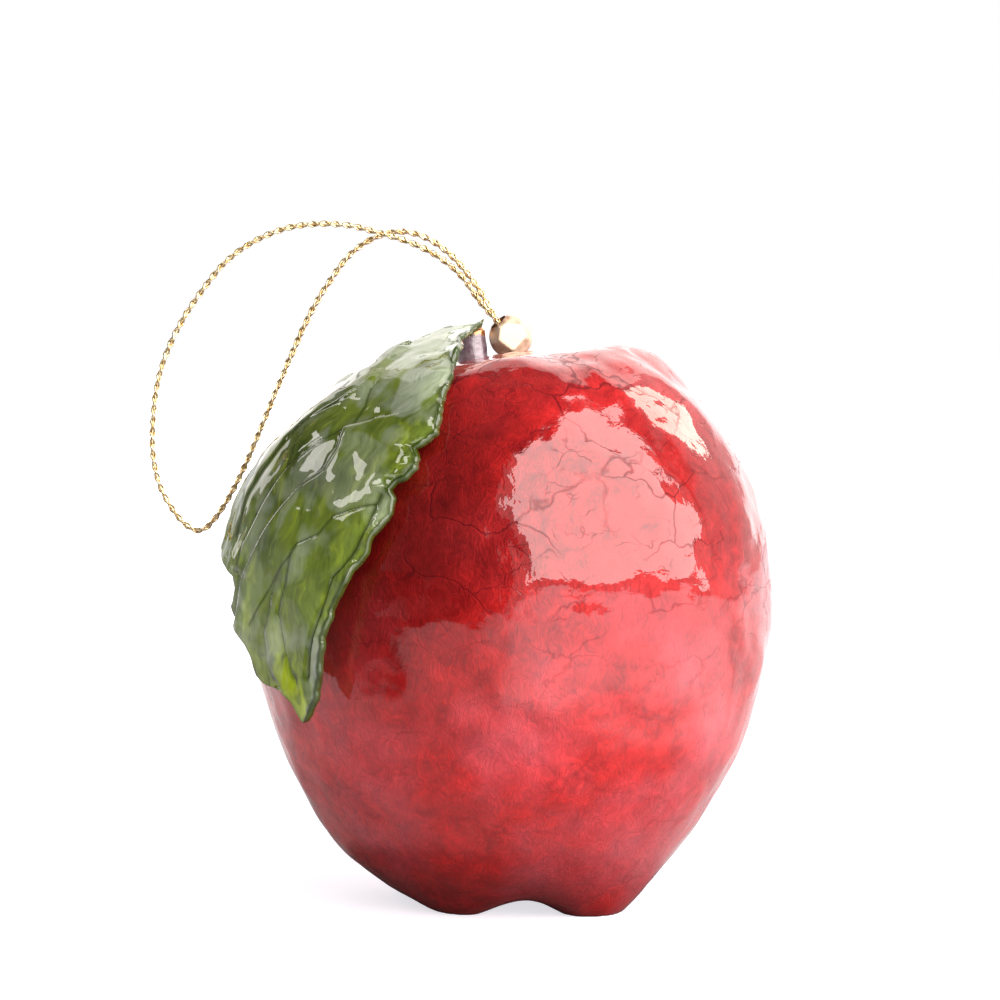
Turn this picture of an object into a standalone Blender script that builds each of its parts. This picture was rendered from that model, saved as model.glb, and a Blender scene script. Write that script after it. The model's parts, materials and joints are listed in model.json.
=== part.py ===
"""A hanging apple ornament: a hollow moulded core covered with capiz shell tiles, with a lacquered
leaf glued over its stem and a gold cord loop that is threaded through a gold bead.

Seen from the front (looking along +Y) the leaf lies over the left shoulder and the loop has fallen
to the left. Z is up and the lobes under the apple stand on Z = 0. Sizes are in metres.
"""

import math
import random

import bmesh
import bpy
import numpy as np
from mathutils import Matrix, Vector

MM = 0.001

# The apple's outer surface, about its own centre
APPLE_WIDTH = 82.8 * MM
APPLE_HEIGHT = 87.0 * MM
FLAT_DEPTH = 0.35 * MM
LEAN = math.radians(3.4)

# Half of the body's outline from the floor of the stem's hollow, over the shoulder, round the
# belly and in to the hollow under the apple: shares of the half width and of the half height
OUTLINE = [
    (0.0, 0.956), (0.12, 0.955), (0.24, 0.956), (0.34, 0.954), (0.435, 0.957), (0.53, 0.938),
    (0.635, 0.88), (0.78, 0.729), (0.884, 0.579), (0.964, 0.4), (0.998, 0.216), (1.0, 0.016),
    (0.976, -0.152), (0.923, -0.331), (0.862, -0.492), (0.778, -0.637), (0.681, -0.779),
    (0.572, -0.883), (0.452, -0.947), (0.338, -0.949), (0.217, -0.91), (0.097, -0.864), (0.0, -0.855),
]

# The lobes that the apple stands on, and the other bulges and dents of the hand-shaped body:
# azimuth from the right, angle from the top, height or depth, and spread. The flat under the
# shallowest lobe is FLAT_DEPTH deep.
LOBES = [
    (-128, 162, 3.6 * MM, 7.4), (-51, 162, 6.3 * MM, 7.6), (38, 162, 5.2 * MM, 9.8),
    (150, 161, 3.0 * MM, 7.5),
]
BULGES = [
    (0, 24, 1.1 * MM, 12.0), (185, 141, 1.3 * MM, 15.0), (70, 75, 0.7 * MM, 20.0),
    (100, 38, 0.8 * MM, 14.0), (-75, 12, 0.7 * MM, 5.0),
]
DENTS = [
    (180, 31, 3.2 * MM, 13.0), (0, 0, 0.8 * MM, 5.0), (-90, 19, 0.2 * MM, 11.0),
    (90, 19, 1.9 * MM, 11.0), (180, 9, 2.0 * MM, 7.0), (-5, 140, 0.4 * MM, 14.0),
    (128, 95, 0.6 * MM, 18.0), (-60, 118, 0.5 * MM, 13.0), (-88, 162, 1.6 * MM, 6.5),
]
SWELLINGS = LOBES + BULGES + [(azimuth, polar, -depth, spread) for azimuth, polar, depth, spread in DENTS]
OUTLINE_STEP = 0.5 * MM
SURFACE_STEPS = 34
SURFACE_RINGS = 22

# The capiz shell tiles and the moulded core under them
TILE_THICKNESS = 0.9 * MM
TILE_JOINT = 0.34 * MM
GLUE_LINE = 0.35 * MM
CORE_WALL = 2.4 * MM
SEAM_DROP = 1.7 * MM
SEAM_GAP = 0.3 * MM
SEAM_BAND_WIDTH = 12.0 * MM
SEAM_BAND_THICKNESS = 0.8 * MM
TILE_SEED = 11

# Rows of tiles from the stem down: angles from the top, tiles in each row, azimuths of the first
TILE_ROW_ANGLES = [41, 70, 100, 131]
TILE_ROW_COUNTS = [6, 8, 8, 7]
TILE_ROW_STARTS = [20, 5, 28, 12]
TILE_SHIFT = math.radians(5.5)
TILE_NEIGHBOURS = math.radians(80)
LOBE_TILES = [(-128, 159), (-47, 159), (38, 159), (95, 156), (150, 158), (205, 156)]

# The stem, a turned peg whose tenon is glued through the top tile and the core
STEM_PLACE = Vector((-5.9 * MM, 0.4 * MM, 0.0))
STEM_RADIUS = 2.6 * MM
STEM_FLARE = 0.3 * MM
STEM_HEIGHT = 6.5 * MM
STEM_DOME = 0.8 * MM
STEM_EDGE = 0.1 * MM
STEM_LEAN = math.radians(4.0)
TENON_RADIUS = 1.7 * MM
TENON_LENGTH = 7.0 * MM
FIT_CLEARANCE = 0.3 * MM
HOLE_CUTTER_LENGTH = 4 * TENON_LENGTH

# The bead on the cord, whose bore points up to the left where the loop leaves it
BEAD_PLACE = Vector((0.0, -0.4 * MM, 0.0))
BEAD_RADIUS = 3.45 * MM
BEAD_BORE_RADIUS = 1.5 * MM
BEAD_TILT = math.radians(43.0)
BEAD_TURN = math.radians(16.0)
BEAD_SEAT_GAP = 0.3 * MM
SEAT_GRID = np.linspace(-0.9, 0.9, 9)

# The cord: two strands of one gold cord, held inside by a knot under a washer
CORD_DIAMETER = 1.05 * MM
STRAND_SPACING = 1.3 * MM
STRAND_START = -0.55 * BEAD_RADIUS
STRAND_EXIT = 0.95 * BEAD_RADIUS
CORD_HOLE_RADIUS = 1.6 * MM
CORD_HOLE_X = 0.6 * MM
WASHER_RADIUS = 3.8 * MM
WASHER_THICKNESS = 0.9 * MM
KNOT_RADIUS = 2.2 * MM
KNOT_HEIGHT = 3.2 * MM

# The loop's route from the bead's mouth and back to it, chosen by eye: x, y, z in millimetres
# from the bead's centre
LOOP_ROUTE = [
    (-5.1, -1.0, 5.8), (-7.2, -1.0, 8.8), (-9.7, -1.1, 11.3), (-12.9, -1.1, 13.4),
    (-16.5, -1.2, 15.0), (-20.2, -1.3, 16.1), (-25.4, -1.5, 17.4), (-31.0, -1.7, 17.6),
    (-36.0, -2.0, 16.7), (-40.9, -2.2, 14.5), (-44.9, -2.4, 11.4), (-48.2, -2.5, 7.4),
    (-51.3, -2.6, 2.8), (-53.7, -2.7, -2.0), (-55.4, -2.8, -7.4), (-56.1, -2.8, -13.0),
    (-56.2, -2.8, -18.0), (-55.3, -2.7, -22.8), (-53.4, -2.7, -26.7), (-51.1, -2.6, -29.5),
    (-49.0, -2.6, -30.4), (-47.2, -2.5, -29.3), (-45.0, -2.4, -26.3), (-42.9, -2.2, -22.5),
    (-40.9, -1.9, -18.2), (-38.9, -1.6, -13.4), (-36.8, -1.3, -8.3), (-34.8, -1.0, -3.6),
    (-32.9, -0.7, 0.7), (-31.0, -0.4, 4.6), (-28.8, -0.2, 8.2), (-26.1, 0.0, 11.9),
    (-23.2, 0.1, 14.5), (-20.0, 0.2, 16.0), (-16.4, 0.2, 16.4), (-12.8, 0.2, 15.2),
    (-9.6, 0.3, 12.9), (-7.1, 0.3, 10.2), (-4.7, 0.3, 6.8),
]
LOOP_STEP = 2.5 * MM

# The leaf: its root over the stem, and its rib as angle from the top and height in millimetres
# above the apple's surface
LEAF_ROOT_X = -2.2 * MM
LEAF_AZIMUTH = math.radians(220.0)
LEAF_RIB = [
    (3.5, 7.0), (12.4, 5.9), (23.0, 2.85), (34.5, 0.2), (46.3, 0.6), (58.6, 1.3),
    (70.4, 2.0), (82.1, 3.05), (93.5, 3.4), (102.6, 3.5), (108.8, 3.6),
]
LEAF_LENGTH = 81.4 * MM
LEAF_THICKNESS = 1.1 * MM
LEAF_CLEARANCE = 0.45 * MM
LEAF_ROWS = 44
LEAF_COLUMNS = 10

# Reach of the leaf's torn edge on each side of its rib at distances along it, in millimetres
LEAF_RIGHT = [
    (0, 0.6), (3, 3.2), (5.5, 4.7), (10.7, 8.2), (14.3, 11.2), (17.4, 12.8), (20.6, 15.6), (24.9, 17.2),
    (29.1, 19.7), (31.9, 20.6), (35.7, 18.9), (38.8, 21.1), (41.1, 20.6), (43.7, 18.6), (47.1, 20.2),
    (49.6, 19.6), (54.6, 18.1), (61.5, 15.4), (65.2, 13.9), (70.2, 12.9), (77.0, 10.4), (80.0, 8.6),
    (81.4, 7.2),
]
LEAF_LEFT = [
    (0, 0.4), (4, 0.2), (9, 0.4), (13, 1.1), (17, 1.6), (21, 1.4), (22.9, 0.6), (25, 9.0), (28, 17.0),
    (31, 20.5), (34, 24.0), (40, 26.5), (45, 25.2), (48, 26.0), (52, 22.8), (55, 22.0), (57.5, 18.6),
    (60.6, 10.6), (62.1, 10.0), (65.4, 10.9), (67.9, 9.1), (70.4, 5.6), (75.2, 3.4), (76.9, -2.6),
    (80.1, -5.4), (81.4, -6.6),
]

# The right edge is rolled up, the left one is tucked under as far as the tip's start, and near the
# root the leaf lies flat
LEAF_LIP = 1.2 * MM
LIP_WIDTH = 5.0 * MM
LEAF_TUCK = 1.6 * MM
TUCK_WIDTH = 24.0 * MM
TUCK_END = 58.0 * MM
TUCK_FADE = 8.0 * MM
ROOT_FADE = 16.0 * MM

# The fold where the leaf slides off the shoulder, and the gutter beside its rib: lines as distance
# along the rib and distance to the right of it in millimetres
FOLD = [(17, -0.6), (22.9, 0.8), (28, 2.3), (33.4, -3.1), (36.9, -5.0), (42.4, -15.4), (47, -22)]
FOLD_HEIGHT = 0.8 * MM
FOLD_STEEP = 1.8 * MM
FOLD_EASY = 6.0 * MM
GUTTER = [(32.5, 12.0), (36.5, 9.6), (40.2, 7.0), (43.5, 3.4), (50, -0.8), (55.2, -3.5), (59.3, -6.9),
          (62.5, -7.9), (67, -8.2)]
GUTTER_DEPTH = 0.5 * MM
GUTTER_STEEP = 0.7 * MM
GUTTER_WIDTH = 3.4 * MM


def clear_scene():
    for item in list(bpy.data.objects):
        bpy.data.objects.remove(item, do_unlink=True)


def make_collection(name):
    group = bpy.data.collections.new(name)
    bpy.context.scene.collection.children.link(group)
    return group


def make_material(name, colour, roughness, metallic=0.0):
    material = bpy.data.materials.new(name)
    material.use_nodes = True
    shader = material.node_tree.nodes["Principled BSDF"]
    shader.inputs["Base Color"].default_value = (*colour, 1.0)
    shader.inputs["Roughness"].default_value = roughness
    shader.inputs["Metallic"].default_value = metallic
    return material


def add_object(name, data, group, parent=None, material=None):
    item = bpy.data.objects.new(name, data)
    group.objects.link(item)
    item.parent = parent
    if material:
        data.materials.append(material)
    return item


def add_mesh(name, bm, group, parent=None, material=None, sharp=40.0):
    mesh = bpy.data.meshes.new(name)
    bm.to_mesh(mesh)
    bm.free()
    mesh.shade_smooth()
    mesh.set_sharp_from_angle(angle=math.radians(sharp))
    return add_object(name, mesh, group, parent, material)


def add_empty(name, group, place, parent=None):
    empty = bpy.data.objects.new(name, None)
    group.objects.link(empty)
    empty.location = place
    empty.parent = parent
    return empty


def add_solidify(item, thickness, offset):
    shell = item.modifiers.new("wall", "SOLIDIFY")
    shell.thickness = thickness
    shell.offset = offset
    shell.use_even_offset = True
    shell.use_quality_normals = True


def add_cut(item, cutter):
    cut = item.modifiers.new("cut", "BOOLEAN")
    cut.operation = "DIFFERENCE"
    cut.solver = "EXACT"
    cut.object = cutter


def add_turned(name, profile, steps, group, parent, material=None):
    """A body turned about its local Z from a closed or axis-to-axis profile of (radius, height)."""
    bm = bmesh.new()
    points = [bm.verts.new((radius, 0.0, height)) for radius, height in profile]
    for first, second in zip(points, points[1:]):
        bm.edges.new((first, second))
    if profile[0][0] > 0.0:
        bm.edges.new((points[-1], points[0]))
    item = add_mesh(name, bm, group, parent, material)
    screw = item.modifiers.new("turned", "SCREW")
    screw.steps = steps
    screw.render_steps = steps
    screw.use_merge_vertices = True
    screw.merge_threshold = 0.00001
    screw.use_smooth_shade = True
    return item


def add_cutter(name, radius, length, group, parent):
    """An upright cylinder that only cuts holes."""
    bm = bmesh.new()
    bmesh.ops.create_cone(bm, cap_ends=True, segments=20, radius1=radius, radius2=radius, depth=length)
    cutter = add_mesh(name, bm, group, parent)
    cutter.display_type = "WIRE"
    cutter.hide_render = True
    return cutter


def smooth_curve(points, step):
    """Points a step apart on a smooth curve through the given points."""
    ends = [points[0] * 2 - points[1]] + points + [points[-1] * 2 - points[-2]]
    fine = []
    for before, start, end, after in zip(ends, ends[1:], ends[2:], ends[3:]):
        for share in np.linspace(0.0, 1.0, 12, endpoint=False):
            even = start * 2 + (end - before) * share
            square = (before * 2 - start * 5 + end * 4 - after) * share ** 2
            cube = (start * 3 - before - end * 3 + after) * share ** 3
            fine.append((even + square + cube) * 0.5)
    fine.append(points[-1])
    run = np.cumsum([0.0] + [(b - a).length for a, b in zip(fine, fine[1:])])
    count = max(2, round(run[-1] / step))
    grid = np.linspace(0.0, run[-1], count + 1)
    axes = [np.interp(grid, run, [point[axis] for point in fine]) for axis in range(3)]
    return [Vector(place) for place in zip(*axes)], run[-1]


def add_cord(name, points, group, parent, material):
    curve = bpy.data.curves.new(name, "CURVE")
    curve.dimensions = "3D"
    curve.bevel_depth = CORD_DIAMETER / 2
    curve.bevel_resolution = 1
    curve.use_fill_caps = True
    line = curve.splines.new("POLY")
    line.points.add(len(points) - 1)
    for knot, place in zip(line.points, points):
        knot.co = (*place, 1.0)
        knot.radius = 1.0
    line.use_smooth = True
    return add_object(name, curve, group, parent, material)


def unit(azimuth, polar):
    """The direction at an azimuth from the right and an angle from the top, both in degrees."""
    turn, drop = math.radians(azimuth), math.radians(polar)
    return Vector((math.sin(drop) * math.cos(turn), math.sin(drop) * math.sin(turn), math.cos(drop)))


def outline_table():
    """The outline as a smooth curve, as angles from the top and distances from the centre."""
    half_width, half_height = APPLE_WIDTH / 2, APPLE_HEIGHT / 2
    points = [Vector((radius * half_width, 0.0, height * half_height)) for radius, height in OUTLINE]
    curve, _ = smooth_curve(points, OUTLINE_STEP)
    angles = [math.atan2(max(place.x, 0.0), place.z) for place in curve]
    return angles, [math.hypot(place.x, place.z) for place in curve]


OUTLINE_ANGLES, OUTLINE_RADII = outline_table()
SWELLING_AXES = [unit(azimuth, polar) for azimuth, polar, _, _ in SWELLINGS]
UPRIGHT = Matrix.Rotation(LEAN, 3, "Y")


def apple_radius(direction):
    """Distance from the apple's centre to its outer surface in a direction."""
    body = UPRIGHT @ direction.normalized()
    radius = np.interp(math.acos(max(-1.0, min(1.0, body.z))), OUTLINE_ANGLES, OUTLINE_RADII)
    for axis, (_, _, height, spread) in zip(SWELLING_AXES, SWELLINGS):
        radius += height * math.exp(-0.5 * (axis.angle(body) / math.radians(spread)) ** 2)
    return radius


def standing_height():
    """Height of the apple's centre over the ground, with a flat cut under each lobe."""
    down = [UPRIGHT.inverted() @ unit(azimuth, polar) for azimuth, polar, _, _ in LOBES]
    return min(-direction.z * apple_radius(direction) for direction in down) - FLAT_DEPTH


CENTRE_HEIGHT = standing_height()


def surface_height(x, y):
    """Height above the ground of the top of the apple at x, y."""
    point = Vector((x, y, CENTRE_HEIGHT))
    for _ in range(25):
        reach = apple_radius(point)
        point.z = math.sqrt(max(reach ** 2 - x ** 2 - y ** 2, 0.0))
    return CENTRE_HEIGHT + point.z


def ball_seat(place, radius):
    """Height of the centre of a ball that rests on the top of the apple over a place."""
    best = 0.0
    for x in SEAT_GRID * radius:
        for y in SEAT_GRID * radius:
            rise = radius ** 2 - x ** 2 - y ** 2
            if rise > 0.0:
                best = max(best, surface_height(place.x + x, place.y + y) + math.sqrt(rise))
    return best


def apple_skin(inset):
    """The apple's closed surface moved inwards by an inset, cut flat where it stands."""
    bm = bmesh.new()
    bmesh.ops.create_uvsphere(bm, u_segments=SURFACE_STEPS, v_segments=SURFACE_RINGS, radius=1.0)
    for vertex in bm.verts:
        vertex.co = vertex.co.normalized() * apple_radius(vertex.co)
    bm.normal_update()
    moves = [(vertex, vertex.normal.copy()) for vertex in bm.verts]
    for vertex, normal in moves:
        vertex.co -= normal * inset
    ground = Vector((0.0, 0.0, inset - CENTRE_HEIGHT))
    everything = bm.verts[:] + bm.edges[:] + bm.faces[:]
    cut = bmesh.ops.bisect_plane(
        bm, geom=everything, plane_co=ground, plane_no=(0, 0, 1), clear_inner=True, dist=0.00001)
    rim = [edge for edge in cut["geom_cut"] if isinstance(edge, bmesh.types.BMEdge)]
    bmesh.ops.holes_fill(bm, edges=rim, sides=0)
    bmesh.ops.recalc_face_normals(bm, faces=bm.faces)
    return bm


def keep_side(bm, place, normal):
    """Cuts away what lies behind a plane and leaves the cut open."""
    everything = bm.verts[:] + bm.edges[:] + bm.faces[:]
    bmesh.ops.bisect_plane(
        bm, geom=everything, plane_co=place, plane_no=normal, clear_inner=True, dist=0.00001)


def tile_centres():
    """Directions of the tiles' middles: the top, four shifted rows, the lobes and the base."""
    chance = random.Random(TILE_SEED)
    centres = [unit(0, 0)]
    for polar, count, start in zip(TILE_ROW_ANGLES, TILE_ROW_COUNTS, TILE_ROW_STARTS):
        for step in range(count):
            azimuth = start + 360 * step / count
            shift = Vector([chance.uniform(-TILE_SHIFT, TILE_SHIFT) for _ in range(3)])
            centres.append((unit(azimuth, polar) + shift).normalized())
    centres += [unit(azimuth, polar) for azimuth, polar in LOBE_TILES]
    return centres + [unit(0, 180)]


def build_tiles(group, parent, material, holes):
    skin = apple_skin(0.0)
    centres = tile_centres()
    for number, centre in enumerate(centres, start=1):
        bm = skin.copy()
        for other in centres:
            apart = centre.angle(other)
            if other is not centre and apart < TILE_NEIGHBOURS:
                normal = (centre - other).normalized()
                keep_side(bm, normal * TILE_JOINT / 2, normal)
        tile = add_mesh(f"capiz_tile_{number:02d}", bm, group, parent, material)
        add_solidify(tile, TILE_THICKNESS, -1.0)
        if number == 1:
            for hole in holes:
                add_cut(tile, hole)
    skin.free()


def build_core(group, parent, material, holes):
    """Two moulded half shells that meet at the seam."""
    for name, side in (("core_lower_half", -1), ("core_upper_half", 1)):
        bm = apple_skin(TILE_THICKNESS + GLUE_LINE)
        up = Vector((0.0, 0.0, float(side)))
        keep_side(bm, Vector((0.0, 0.0, -SEAM_DROP)) + up * SEAM_GAP / 2, up)
        half = add_mesh(name, bm, group, parent, material)
        add_solidify(half, CORE_WALL, -1.0)
        if side > 0:
            for hole in holes:
                add_cut(half, hole)
    band_inset = TILE_THICKNESS + GLUE_LINE + CORE_WALL + GLUE_LINE
    bm = apple_skin(band_inset)
    half_band = SEAM_BAND_WIDTH / 2
    keep_side(bm, Vector((0.0, 0.0, -SEAM_DROP - half_band)), Vector((0.0, 0.0, 1.0)))
    keep_side(bm, Vector((0.0, 0.0, -SEAM_DROP + half_band)), Vector((0.0, 0.0, -1.0)))
    band = add_mesh("core_seam_band", bm, group, parent, material)
    add_solidify(band, SEAM_BAND_THICKNESS, -1.0)


def stem_frame():
    """The stem's foot on the apple and its height above that foot."""
    foot = max(surface_height(STEM_PLACE.x + dx * STEM_RADIUS, STEM_PLACE.y + dy * STEM_RADIUS)
               for dx, dy in ((0, 0), (1, 0), (-1, 0), (0, 1), (0, -1), (0.7, 0.7), (0.7, -0.7)))
    return Vector((STEM_PLACE.x, STEM_PLACE.y, foot + FIT_CLEARANCE + STEM_FLARE))


def build_stem(group, parent, material):
    foot = stem_frame()
    shoulder = STEM_RADIUS + STEM_FLARE
    profile = [(0.0, STEM_HEIGHT)]
    for share in (0.3, 0.6, 0.85, 1.0):
        rise = math.sqrt(max(1.0 - share ** 2, 0.0))
        profile.append((share * (STEM_RADIUS - STEM_EDGE), STEM_HEIGHT + STEM_DOME * (rise - 1.0)))
    profile += [
        (STEM_RADIUS, STEM_HEIGHT * 0.5), (STEM_RADIUS + STEM_FLARE * 0.4, STEM_HEIGHT * 0.2),
        (shoulder, 0.0), (TENON_RADIUS, 0.0), (TENON_RADIUS, -TENON_LENGTH), (0.0, -TENON_LENGTH),
    ]
    stem = add_turned("stem", profile, 24, group, parent, material)
    stem.location = foot
    stem.rotation_euler = (0.0, -STEM_LEAN, 0.0)
    return stem


def bead_axis():
    """Direction of the bead's bore, out of its upper mouth."""
    side = math.sin(BEAD_TILT)
    return Vector((-side * math.cos(BEAD_TURN), -side * math.sin(BEAD_TURN), math.cos(BEAD_TILT)))


def build_bead(group, parent, material):
    edge = math.asin(BEAD_BORE_RADIUS / BEAD_RADIUS)
    profile = []
    for angle in np.linspace(edge, math.pi - edge, 12):
        profile.append((BEAD_RADIUS * math.sin(angle), BEAD_RADIUS * math.cos(angle)))
    bead = add_turned("gold_bead", profile, 24, group, parent, material)
    bead.rotation_euler = Vector((0.0, 0.0, 1.0)).rotation_difference(bead_axis()).to_euler()
    return bead


def build_loop(group, parent, material):
    """The cord's loop, whose two ends lie side by side in the bead's bore."""
    axis = bead_axis()
    aside = Vector((0.0, 1.0, 0.0)).cross(axis).cross(axis).normalized()
    if aside.y > 0:
        aside.negate()
    front = aside * STRAND_SPACING / 2
    lead_in = [axis * STRAND_START + front, front, axis * STRAND_EXIT + front]
    route = [Vector(place) * MM for place in LOOP_ROUTE]
    points = lead_in + route + [place - front * 2 for place in reversed(lead_in)]
    path, length = smooth_curve(points, LOOP_STEP)
    add_cord("hanging_loop", path, group, parent, material)
    print(f"cord in the loop: {length / MM:.1f} mm")


def build_anchor(group, parent, cord, card):
    """The strands under the bead, and the washer and knot that hold them inside the core."""
    x, y = BEAD_PLACE.x + CORD_HOLE_X, BEAD_PLACE.y
    top = surface_height(x, y)
    wall = TILE_THICKNESS + GLUE_LINE + CORE_WALL
    under = min(surface_height(x + WASHER_RADIUS * dx, y + WASHER_RADIUS * dy)
                for dx, dy in ((0, 0), (1, 0), (-1, 0), (0, 1), (0, -1))) - wall
    washer_top = under - 2 * FIT_CLEARANCE
    washer_base = washer_top - WASHER_THICKNESS
    washer = add_turned("anchor_washer", [
        (WASHER_RADIUS, washer_top), (WASHER_RADIUS, washer_base),
        (CORD_HOLE_RADIUS, washer_base), (CORD_HOLE_RADIUS, washer_top),
    ], 24, group, parent, card)
    washer.location = (x, y, 0.0)
    knot_top = washer_base - FIT_CLEARANCE
    knot_middle = knot_top - KNOT_HEIGHT / 2
    profile = [(KNOT_RADIUS * math.sin(angle), knot_middle + KNOT_HEIGHT / 2 * math.cos(angle))
               for angle in np.linspace(0.0, math.pi, 9)]
    profile[0], profile[-1] = (0.0, profile[0][1]), (0.0, profile[-1][1])
    knot = add_turned("cord_knot", profile, 16, group, parent, cord)
    knot.location = (x, y, 0.0)
    for name, side in (("cord_lead_front", -1), ("cord_lead_rear", 1)):
        strand = y + side * STRAND_SPACING / 2
        points = [Vector((x, strand, height)) for height in (top, (top + washer_base) / 2, washer_base)]
        path, _ = smooth_curve(points, LOOP_STEP)
        add_cord(name, path, group, parent, cord)


def leaf_reach(table, distance):
    """Reach of the leaf to one side of its rib."""
    places, reaches = zip(*table)
    return np.interp(distance / MM, places, reaches) * MM


def line_offset(line, distance, side):
    """How far a place on the leaf lies to the right of a line on it."""
    nearest = math.inf
    for start, end in zip(line, line[1:]):
        run = (Vector(end) - Vector(start)) * MM
        apart = Vector((distance, side)) - Vector(start) * MM
        apart -= run * min(1.0, max(0.0, apart.dot(run) / run.length_squared))
        offset = math.copysign(apart.length, run.cross(apart))
        nearest = min(nearest, offset, key=abs)
    return nearest


def leaf_lift(distance, side, right):
    """How far the lip, the tuck, the fold and the gutter move the leaf away from the apple."""
    lip = LEAF_LIP * max(0.0, 1.0 - (right - side) / LIP_WIDTH) ** 2
    tuck = LEAF_TUCK * max(0.0, -side / TUCK_WIDTH) ** 2
    tuck *= min(1.0, max(0.0, (TUCK_END - distance) / TUCK_FADE))
    over_fold = line_offset(FOLD, distance, side)
    fold = FOLD_HEIGHT * math.exp(-(over_fold / (FOLD_STEEP if over_fold > 0 else FOLD_EASY)) ** 2)
    over_gutter = line_offset(GUTTER, distance, side)
    gutter = GUTTER_DEPTH * math.tanh(over_gutter / GUTTER_STEEP)
    gutter *= math.exp(-(over_gutter / GUTTER_WIDTH) ** 2)
    fade = min(1.0, distance / ROOT_FADE)
    return (lip - tuck) * fade + (fold + gutter) * fade ** 2


def rib_direction(polar):
    """The direction of the leaf's rib at an angle from the top in radians."""
    return Vector((math.sin(polar) * math.cos(LEAF_AZIMUTH), math.sin(polar) * math.sin(LEAF_AZIMUTH),
                   math.cos(polar)))


def rib_line():
    """The leaf's rib: angles from the top, distances from the centre and distances along it."""
    polars = [math.radians(polar) for polar, _ in LEAF_RIB]
    radii = [apple_radius(rib_direction(polar)) + rise * MM for polar, (_, rise) in zip(polars, LEAF_RIB)]
    runs = [(b - a) * (c + d) / 2 for a, b, c, d in zip(polars, polars[1:], radii, radii[1:])]
    return polars, radii, np.cumsum([0.0] + runs)


RIB_POLARS, RIB_RADII, RIB_RUNS = rib_line()


def leaf_point(distance, across):
    """A point of the leaf's middle surface: distance along the rib, and -1 to 1 across it."""
    rib = rib_direction(np.interp(distance, RIB_RUNS, RIB_POLARS))
    radius = np.interp(distance, RIB_RUNS, RIB_RADII)
    right, left = leaf_reach(LEAF_RIGHT, distance), leaf_reach(LEAF_LEFT, distance)
    side = (right - left) / 2 + across * (right + left) / 2
    turn = side / radius
    sideways = Vector((-math.sin(LEAF_AZIMUTH), math.cos(LEAF_AZIMUTH), 0.0))
    direction = rib * math.cos(turn) + sideways * math.sin(turn)
    point = direction * (radius + leaf_lift(distance, side, right)) + Vector((LEAF_ROOT_X, 0.0, 0.0))
    lowest = apple_radius(point) + LEAF_CLEARANCE + LEAF_THICKNESS / 2
    if point.length < lowest:
        point = point.normalized() * lowest
    return point


def build_leaf(group, parent, material):
    bm = bmesh.new()
    bmesh.ops.create_grid(bm, x_segments=LEAF_ROWS, y_segments=LEAF_COLUMNS, size=1.0)
    for vertex in bm.verts:
        vertex.co = leaf_point((vertex.co.x + 1) / 2 * LEAF_LENGTH, vertex.co.y)
    bmesh.ops.recalc_face_normals(bm, faces=bm.faces)
    leaf = add_mesh("leaf", bm, group, parent, material, sharp=60.0)
    add_solidify(leaf, LEAF_THICKNESS, 0.0)
    return leaf


def footprint(group, left_out):
    """Centre in x and y of the box round all parts but those on the cord."""
    bpy.context.view_layer.update()
    graph = bpy.context.evaluated_depsgraph_get()
    corners = []
    for item in group.objects:
        if item.type == "EMPTY" or item.name in left_out:
            continue
        solid = item.evaluated_get(graph)
        mesh = solid.to_mesh()
        corners += [solid.matrix_world @ vertex.co for vertex in mesh.vertices]
        solid.to_mesh_clear()
    lows = [min(corner[axis] for corner in corners) for axis in range(2)]
    highs = [max(corner[axis] for corner in corners) for axis in range(2)]
    return Vector(((lows[0] + highs[0]) / 2, (lows[1] + highs[1]) / 2, 0.0))


def build():
    clear_scene()
    parts = make_collection("capiz_apple_ornament")
    cutters = make_collection("cutters")
    red_capiz = make_material("red lacquered capiz", (0.47, 0.022, 0.027), 0.12)
    pulp = make_material("moulded pulp", (0.45, 0.33, 0.22), 0.85)
    pearl = make_material("mauve pearl capiz", (0.42, 0.31, 0.34), 0.2)
    gold_leaf = make_material("gold leaf", (0.83, 0.61, 0.36), 0.25, 1.0)
    gold_cord = make_material("gold metallic cord", (0.72, 0.52, 0.24), 0.4, 0.8)
    green = make_material("green lacquered leaf", (0.08, 0.15, 0.022), 0.15)
    card = make_material("grey card", (0.4, 0.38, 0.35), 0.9)

    ornament = add_empty("ornament", parts, (0.0, 0.0, 0.0))
    apple = add_empty("apple_centre", parts, (0.0, 0.0, CENTRE_HEIGHT), ornament)
    bead_height = ball_seat(BEAD_PLACE, BEAD_RADIUS + BEAD_SEAT_GAP)
    bead_centre = Vector((BEAD_PLACE.x, BEAD_PLACE.y, bead_height))
    swing = add_empty("loop_swing_axis", parts, bead_centre, ornament)

    stem_hole = add_cutter("stem_hole", TENON_RADIUS + FIT_CLEARANCE, HOLE_CUTTER_LENGTH, cutters, ornament)
    stem_hole.location = stem_frame()
    stem_hole.rotation_euler = (0.0, -STEM_LEAN, 0.0)
    cord_hole = add_cutter("cord_hole", CORD_HOLE_RADIUS, HOLE_CUTTER_LENGTH, cutters, ornament)
    cord_hole.location = (BEAD_PLACE.x + CORD_HOLE_X, BEAD_PLACE.y, stem_hole.location.z)

    build_tiles(parts, apple, red_capiz, [stem_hole, cord_hole])
    build_core(parts, apple, pulp, [stem_hole, cord_hole])
    build_stem(parts, ornament, pearl)
    build_leaf(parts, apple, green)
    build_bead(parts, swing, gold_leaf)
    build_loop(parts, swing, gold_cord)
    build_anchor(parts, ornament, gold_cord, card)

    ornament.location = -footprint(parts, ["hanging_loop"])
    bpy.context.view_layer.update()
    axis_place = swing.matrix_world.translation
    print("loop_swing axis through", [round(value, 6) for value in axis_place])
    print("ornament shifted by", [round(value, 6) for value in ornament.location])


build()
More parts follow.
